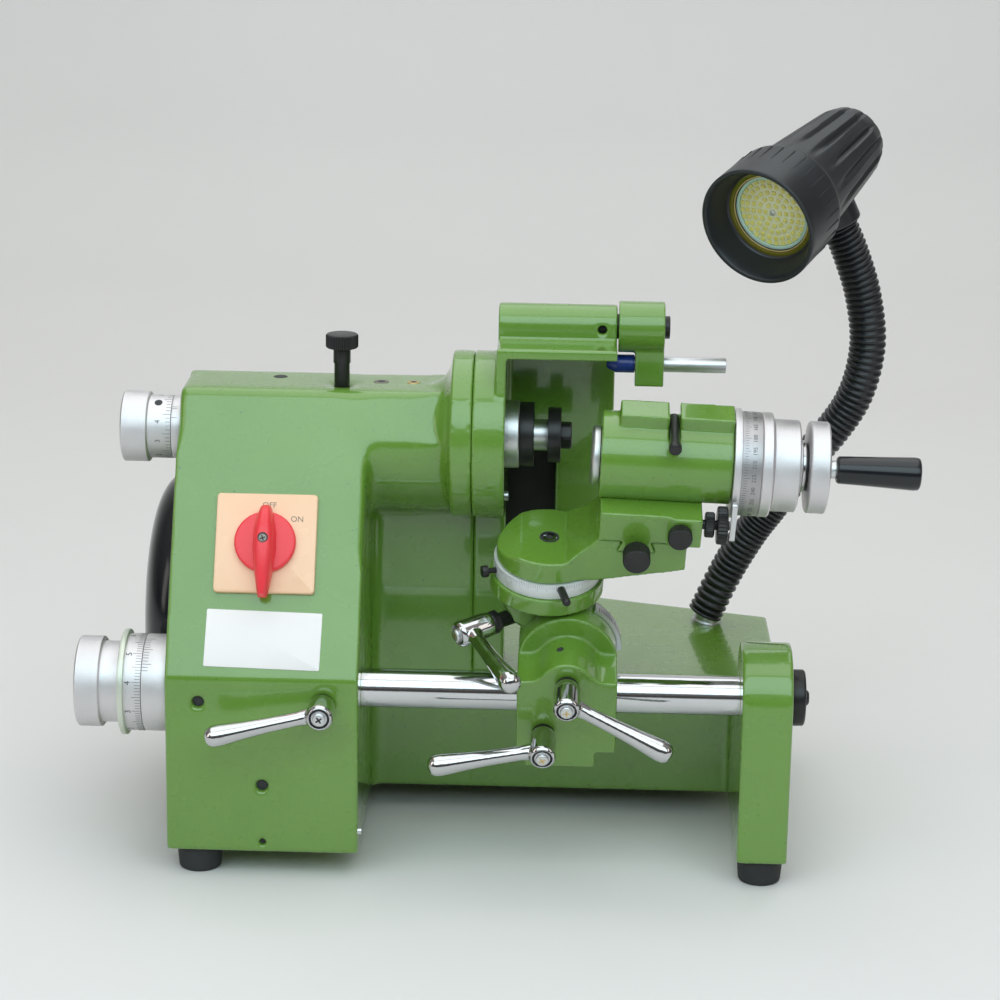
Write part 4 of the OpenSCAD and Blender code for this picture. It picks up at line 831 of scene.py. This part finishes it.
thumb = machine @ shift(103, 107, 0) @ upright
stem = plug([(290.4, 5), (314, 5), (314, 5.6), (325, 5.6)], 0.5)
piece("thumb_screw", placed(thumb, stem, knob_head(324, 333, 10.5, 44)), "black oxide", "quill_lock",
      "quill_lock_screw")
slide = swivel @ shift(54, -27, 82.9) @ outward
piece("slide_knob_head", placed(slide, plug([(-18, 3), (5.5, 3)], 0.3), knob_head(5, 17, 8.6, 40)),
      "black oxide", "slide_knob", "slide_clamp_knob")
pull = swivel @ shift(80, -30, 97.2) @ outward
piece("plunger_head", placed(pull, plug([(-18, 3), (1, 3)], 0.3), knob_head(0.5, 8.5, 7.6, 36)),
      "black oxide", "plunger", "index_plunger")
stop = swivel @ shift(93.5, -19, 97.7)
piece("stop_wheel", placed(stop, plug([(-8, 3), (17.5, 3)], 0.3), knob_head(2, 8, 8, 36),
                           knob_head(9.5, 16, 12, 30, 0.8)), "black oxide", "stop", "stop_screw")
finger = swivel @ shift(111.2, -23.2, 103.5) @ turn(90, "Y")
piece("stop_finger", placed(finger, slab(27, 5.4, 3.2, 1.6, 0.5)), "satin steel", "workhead")
lock = work @ shift(73.3, 0, 27) @ outward
pin = plug([(-6, 3.2), (28, 3.2), (28, 4), (33.2, 4), (34, 3.2)], 0.5)
piece("lock_pin", placed(lock, pin), "black oxide", "workhead", "spindle_lock_pin")

# %% [markdown]
# Small screws, plugs and holes sit in the castings. They are too small to cut into the
# skin, so a screw is a low round head whose six-sided socket is a dark hex of painted shade,
# and a hole is painted shade too: a dark disc or a lining just inside its rim.

# %% Screws and plugs in the castings
TOP = 300


def cap_screw(name, place, radius, height, finish_name="satin steel"):
    piece(name, placed(place, plug([(-2, radius), (height, radius)], 0.5, sides=32)), finish_name, "frame")
    low, high, wide = height - 0.02, height + 0.05, radius * 0.55
    socket = turned([(low, 0), (low, wide), (high, wide), (high, 0)], sides=6)
    piece(name + "_socket", placed(place, socket), "ink", "frame")


cap_screw("top_screw", machine @ shift(128, 115, TOP) @ upright, 5.2, 0.3, "dark steel")
cap_screw("top_plug", machine @ shift(149, 115, TOP) @ upright, 4.2, 0.4, "brass")
cap_screw("guard_screw", machine @ shift(210, 112, 226), 3.2, 1.8)
cap_screw("low_pin", machine @ shift(122, 3.5, 32), 2.2, 2.4)
for k, (x, z) in enumerate(((20, 86), (102, 86), (20, 176), (102, 176))):
    cap_screw(f"cover_screw_{k}", machine @ shift(x, 253, z) @ inward, 3.5, 1.5)
front_holes = ((21, 117, 3.9), (61, 62, 3.9), (61, 23.5, 2.4))
linings = [moved(plug([(3.6, r), (7.6, r)], 0.1, sides=32), machine @ shift(x, 0, z) @ inward)
           for x, z, r in front_holes]
piece("hole_linings", linings, "ink", "frame")
top_hole = machine @ shift(61.4, 124, TOP) @ upright
piece("top_hole", placed(top_hole, plug([(-1, 4.6), (0.12, 4.6)], 0.1, sides=32)), "ink", "frame")
oil_hole = carriage @ shift(-4.8, -9.5, 39.8) @ turn(-14, "Y") @ upright
piece("oil_hole", placed(oil_hole, plug([(-1, 2.3), (0.15, 2.3)], 0.1, sides=28)), "ink", "carriage")

# %% [markdown]
# ## Swivel ring and tilt scale
#
# Below the arm is a pale graduated ring that reads the swivel in degrees. A small black pin
# and a screw stick out of it. The bolt through its middle ends in a recess on the arm.

# %% Swivel ring
RING_R, RING_TOP = 34.5, 10.2
ring_place, bolt_axis = swivel @ shift(0, 0, 45) @ upright, swivel @ upright
piece("swivel_ring", placed(ring_place, ring(0.2, 10.3, RING_R, 14, 0.6)), "scale white", "tilt",
      "swivel_scale_ring")
lines = [(a, RING_TOP - (4 if a % 10 == 0 else 2.4), RING_TOP, 0.22) for a in range(0, 360, 2)]
piece("swivel_marks", placed(ring_place, marks(RING_R, lines)), "faint ink", "tilt")
pin = turned(eased([(33, 0), (33, 2.6), (49, 2.6), (50.5, 1.8), (50.7, 0)], 0.5), 28)
piece("ring_pin", placed(swivel @ shift(0, 0, 52.5) @ turn(-75, "Z"), pin), "black oxide", "tilt")
screw = plug([(33, 1.9), (39.8, 1.9), (39.8, 3.8), (44, 3.8)], 0.5, sides=28)
piece("ring_screw", placed(swivel @ shift(0, 0, 50) @ turn(199, "Z"), screw), "black oxide", "tilt")
bolt = plug([(21.8, 4.2), (65.4, 4.2), (65.4, 4.7), (69.9, 4.7)], 0.3)
piece("swivel_bolt_turned", placed(bolt_axis, bolt), "chrome", "tilt", "swivel_bolt")
# The bolt's hex socket and the ring in the arm's recess are dark ink, painted shade for the socket and the
# recess.
socket = turned([(69.88, 0), (69.88, 2.4), (69.98, 2.4), (69.98, 0)], 6)
piece("swivel_bolt_socket", placed(bolt_axis, socket), "ink", "tilt")
piece("bolt_recess", placed(bolt_axis, ring(69.4, 70.25, 6.1, 4.9, 0.1)), "ink", "arm")

# %% [markdown]
# Beside the tilt disc is a curved steel scale. The strip is a CAD node that stays, and it
# only needs marks, one at every third degree.

# %% Tilt scale
STRIP_R, STRIP_EDGE = 34.04, -18.8
lines = [(a, STRIP_EDGE - (6 if a % 10 == 0 else 3.6), STRIP_EDGE, 0.42) for a in range(3, 60, 3)]
piece("tilt_marks", placed(tilt @ outward, marks(STRIP_R, lines)), "ink", "tilt")

# %% [markdown]
# ## Dresser
#
# A swinging link above the wheel carries a rod with a diamond holder, painted blue. The rod
# slides through the link to true the wheel's face.

# %% Dresser rod and holder
rod_place = machine @ shift(0, 110, 316.7)
pivot = plug([(251, 8), (310.5, 8), (310.5, 7.3), (314, 7.3)], 0.6)
piece("dresser_pin", placed(guard_arm, pivot), "black oxide", "frame", "dresser_pivot")
rod = plug([(291.7, 5), (350.7, 5)], 0.6)
piece("dresser_bar", placed(rod_place, rod), "satin steel", "dresser_slide", "dresser_rod")
holder = plug([(273.7, 2.4), (274.4, 3.2), (280, 5.9), (291.7, 5.9)], 0.5)
piece("diamond_holder", placed(rod_place, holder), "blue enamel", "dresser_slide", "dresser_tip")

# %% [markdown]
# ## Motor dome
#
# The motor's end sits under a deep black dome on the left wall. It is spun from a smooth
# curve, as the real cover was pressed from sheet. The inner curve is the same one, a
# sheet's thickness smaller.

# %% Dome
DOME_R, DOME_DEEP, SHEET = 92, 30, 3


def bow(radius, deep):
    curve = [(-deep * sin(radians(a)) ** 0.8, radius * cos(radians(a)) ** 0.45) for a in range(0, 90, 5)]
    return curve + [(-deep, 0)]


dome = bow(DOME_R - SHEET, DOME_DEEP - SHEET)[::-1] + bow(DOME_R, DOME_DEEP)
piece("motor_dome", placed(motor, turned(dome, 96)), "gloss black", "frame", "motor_end_cover")

# %% [markdown]
# ## Lamp
#
# The lamp head is a moulded shell: a wide bezel, a fluted body that narrows to the rear and
# a clamp sleeve on the hose. The flutes are a ripple on the lathe outline that fades out
# towards both ends.

# %% Lamp shell
RIM, BACK = Vector((367, 110, 407)), Vector((0.5, 0.808, 0.31)).normalized()
HOSE_END, HOSE_WAY = Vector((426, 203, 398)), Vector((-0.42, -0.08, 0.9)).normalized()
FLUTES, FLUTE_DEEP = 15, 2.6


def aimed(point, way):
    return machine @ shift(*point) @ way.to_track_quat("X", "Z").to_matrix().to_4x4()


def flutes(x, r, a):
    if x < 44 or r < 15:
        return np.full_like(a, r)
    fade = max(0.0, min(1.0, (x - 50) / 25)) * max(0.0, min(1.0, (138 - x) / 14))
    return r - FLUTE_DEEP * fade * np.clip(np.cos(FLUTES * a), -0.2, 1) ** 2


lamp = aimed(RIM, BACK)
hollow = [(66.3, 0), (66.3, 12.8), (31, 25.3), (20, 25.3), (18, 31), (6, 35)]
shell = [(0, 37), (0, 39.2), (0.8, 40), (40, 38.9), (42, 38.2), (46, 34.4), (125, 26.4), (136, 23.5),
         (140, 18), (141, 0)]
outline = stepped(eased(hollow + shell, 1.2), 4.0)
piece("lamp_shell", placed(lamp, turned(outline, 180, flutes)), "black plastic", "lamp", "lamp_head",
      crease=40)
seams = marks(39.2, [(a, 3, 38, 0.8) for a in range(0, 360, 12)], 0.25)
piece("bezel_seams", placed(lamp, seams), "rubber", "lamp")
sleeve = [(-4, 12.8), (-4, 15.2), (-2.5, 16), (18, 16), (24, 14), (24, 0), (0.4, 0), (0.4, 12.8)]
piece("lamp_sleeve", placed(aimed(HOSE_END, HOSE_WAY), turned(eased(sleeve, 1.0), 48, None, True)),
      "black plastic", "lamp")

# %% [markdown]
# Inside sits a reflector bulb. Its face is a plate with five rings of small yellow chips
# behind a glass rim, and each chip is a slab of its own, turned to the middle.

# %% Bulb
PLATE_AT, CHIP_RINGS = 22.3, ((5.2, 6), (9.6, 12), (14.0, 18), (18.4, 24), (22.0, 28))
piece("bulb_face", placed(lamp, plug([(PLATE_AT, 23.4), (31, 25), (66, 12.5)], 0.5)), "bulb plate", "lamp",
      "lamp_bulb")
# The glass rim is painted pale cyan, a painted reflection of the sky light. The reflector's yellow tint is
# its own, and its darkness is painted shade inside the lamp.
piece("bulb_glass", placed(lamp, ring(20.6, 22.6, 26, 23.4, 0.5)), "bulb rim sky sheen", "lamp")
piece("bulb_band", placed(lamp, ring(19.4, 22.0, 27, 26, 0.3)), "brass", "lamp")
piece("bulb_reflector", placed(lamp, ring(18.5, 22.0, 30.4, 27, 0.6)), "shaded reflector", "lamp")
chip, chips = slab(3.1, 2.7, 0.8, 0.6, 0.3, 2), []
for radius, count in CHIP_RINGS:
    for k in range(count):
        a = 2 * pi * k / count
        spoke = shift(PLATE_AT, radius * cos(a), radius * sin(a)) @ turn(degrees(a), "X")
        chips.append(moved(chip, lamp @ spoke @ upright))
piece("bulb_chips", chips, "bulb yellow", "lamp")
piece("bulb_screw", placed(lamp, plug([(21.2, 2.0), (22.6, 2.0)], 0.4, sides=20)), "satin steel", "lamp")

# %% [markdown]
# ## Flexible arm
#
# A ribbed plastic hose covers the lamp's bendable arm. Its route is the CAD's own list of
# points, smoothed by the same spline, and every rib is a rounded bulge of six rings. The
# hose runs straight out of the gland at the bottom and into the lamp's sleeve at the top.

# %% Hose along its route
LEAN_OUT, RIBS, PER_RIB, SIDES = radians(24), 76, 6, 32
HOSE_R, GROOVE = 12.5, 1.8
stub = Vector((sin(LEAN_OUT), 0, cos(LEAN_OUT)))
hose_from = Vector((350, 245, 107)) - stub
route = [hose_from, hose_from + 37 * stub] + [Vector(p) for p in (
    (380, 239, 170), (394, 234, 192), (411, 229, 220), (431, 223, 247), (446, 218, 275), (452, 213, 310),
    (447, 209, 345))] + [HOSE_END - 25 * HOSE_WAY, HOSE_END]


def on_route(t):
    n = len(route) - 1
    i = min(int(t * n), n - 1)
    s = t * n - i
    a, b, c, d = route[max(i - 1, 0)], route[i], route[i + 1], route[min(i + 2, n)]
    bend, twist = 2 * a - 5 * b + 4 * c - d, 3 * b - a - 3 * c + d
    return 0.5 * (2 * b + s * (c - a) + s * s * bend + s ** 3 * twist)


loops, steps = [], RIBS * PER_RIB
for i in range(steps + 1):
    t = i / steps
    centre, way = on_route(t), (on_route(min(t + 1e-3, 1)) - on_route(max(t - 1e-3, 0))).normalized()
    across = way.cross(Vector((0, 1, 0))).normalized()
    other = way.cross(across)
    wide = HOSE_R - GROOVE * (0.5 + 0.5 * cos(2 * pi * i / PER_RIB)) ** 1.6
    angles = [2 * pi * k / SIDES for k in range(SIDES)]
    loops.append([centre + wide * (cos(a) * across + sin(a) * other) for a in angles])
piece("lamp_hose", placed(machine, lofted(loops)), "hose black", "frame", "gooseneck", crease=80)
gland_axis = machine @ shift(350, 245, 100) @ turn(12, "Y") @ upright
gland = plug([(-3, 9.5), (1.5, 9.5), (2.2, 8.8), (12, 8.8)], 0.4)
piece("hose_gland", placed(gland_axis, gland), "satin steel", "frame", "gooseneck_gland")

# %% [markdown]
# ## CAD parts that stay
#
# The rest of the CAD is already the right shape: the bar, the drive inside the headstock,
# the covers. These nodes only need their finishes.

# %% Dress the remaining nodes
kept = {
    "bright bar": ["guide_bar"],
    "satin steel": ["motor_rotor", "motor_pulley", "quill_sleeve", "quill_tail", "spindle_bearings",
                    "spindle_pulley", "bar_feed_nut", "tilt_scale"],
    "motor iron": ["motor_body"],
    "rubber": ["drive_belt"],
    "black plastic": ["switch_body"],
    "black oxide": ["guard_back_plate"],
    "green enamel": ["rear_cover"],
}
for finish_name, names in kept.items():
    for name in names:
        mesh = nodes[name].data
        mesh.materials.clear()
        mesh.materials.append(finishes[finish_name])
print("kept nodes:", sum(len(names) for names in kept.values()))

# %% [markdown]
# ## Floor and light
#
# A pale floor that curves up behind the machine stands for a paper sweep. Two broad panels
# light it softly, one above and one high in front, and two weak, narrow ones at the sides
# draw lines of light along the chrome. They stay low, so that the white card keeps its tone.

# %% Stage
FAR = 30  # metres that the paper reaches to each side and to the front
sweep = [(-FAR, 0.0), (1.2, 0.0), (1.6, 0.05), (1.9, 0.2), (2.1, 0.5), (2.2, 1.0), (2.2, 4.0)]
mesh = bpy.data.meshes.new("paper_sweep")
mesh.from_pydata([(x, y, z) for x in (-FAR, FAR) for y, z in sweep], [],
                 [[k, k + 1, len(sweep) + k + 1, len(sweep) + k] for k in range(len(sweep) - 1)])
mesh.polygons.foreach_set("use_smooth", [True] * len(mesh.polygons))
start, spot, feed = finish("paper", "green_paint")
feed("Base Color", noise(start, spot, 2).mix((0.74, 0.705, 0.695, 1), (0.78, 0.75, 0.735, 1)))
feed("Roughness", 0.6 + noise(start, spot, 30) * 0.2)
mesh.materials.append(finishes["paper"])
in_scene("paper_sweep", mesh)


def soft_light(name, place, target, size, power, shade):
    made = bpy.data.lights.new(name, "AREA")
    made.energy, made.color, made.shape = power, shade, "RECTANGLE"
    made.size, made.size_y = size
    holder = in_scene(name, made)
    holder.location = place
    holder.rotation_euler = (Vector(target) - Vector(place)).to_track_quat("-Z", "Y").to_euler()
    print(name, power, "W")


MIDDLE = (0, 0, 0.2)
soft_light("sky_panel", (0.0, 0.42, 2.35), (0, 0.3, 0.2), (2.6, 3.2), 36, (0.92, 0.98, 1.0))
soft_light("front_sky", (0.0, -1.75, 1.65), MIDDLE, (3.6, 1.5), 39, (0.72, 0.93, 1.0))
soft_light("left_panel", (-1.8, -1.0, 0.9), MIDDLE, (0.5, 1.2), 3.4, (1.0, 0.94, 0.86))
soft_light("right_panel", (1.7, -0.8, 0.9), MIDDLE, (0.5, 1.0), 2.1, (1.0, 0.95, 0.88))

# %% [markdown]
# The world is a gentle gradient, bright above and darker at the horizon. A plain grey world
# would light the paint as well, but chrome shows its surroundings and needs the contrast.

# %% World
AMBIENT = 0.40
LOW_SKY, HIGH_SKY = (0.10, 0.10, 0.105, 1), (1.0, 0.95, 0.88, 1)
world = bpy.data.worlds.new("sky")
world.use_nodes = True
bpy.context.scene.world = world
sky = Wire(world.node_tree)
height = sky.node("SeparateXYZ", {}, {0: sky.node("TexCoord", out=0)}, out=2)
shade = sky.node("ValToRGB", {"stops": ((0.05, LOW_SKY), (0.9, HIGH_SKY))}, {0: height})
background = world.node_tree.nodes["Background"]
world.node_tree.links.new(shade.socket, background.inputs[0])
background.inputs[1].default_value = AMBIENT
bpy.context.scene.view_settings.view_transform = "Standard"
print("world strength", AMBIENT)

# %% [markdown] ## Sizes The dressed model has to stay as big as the CAD.
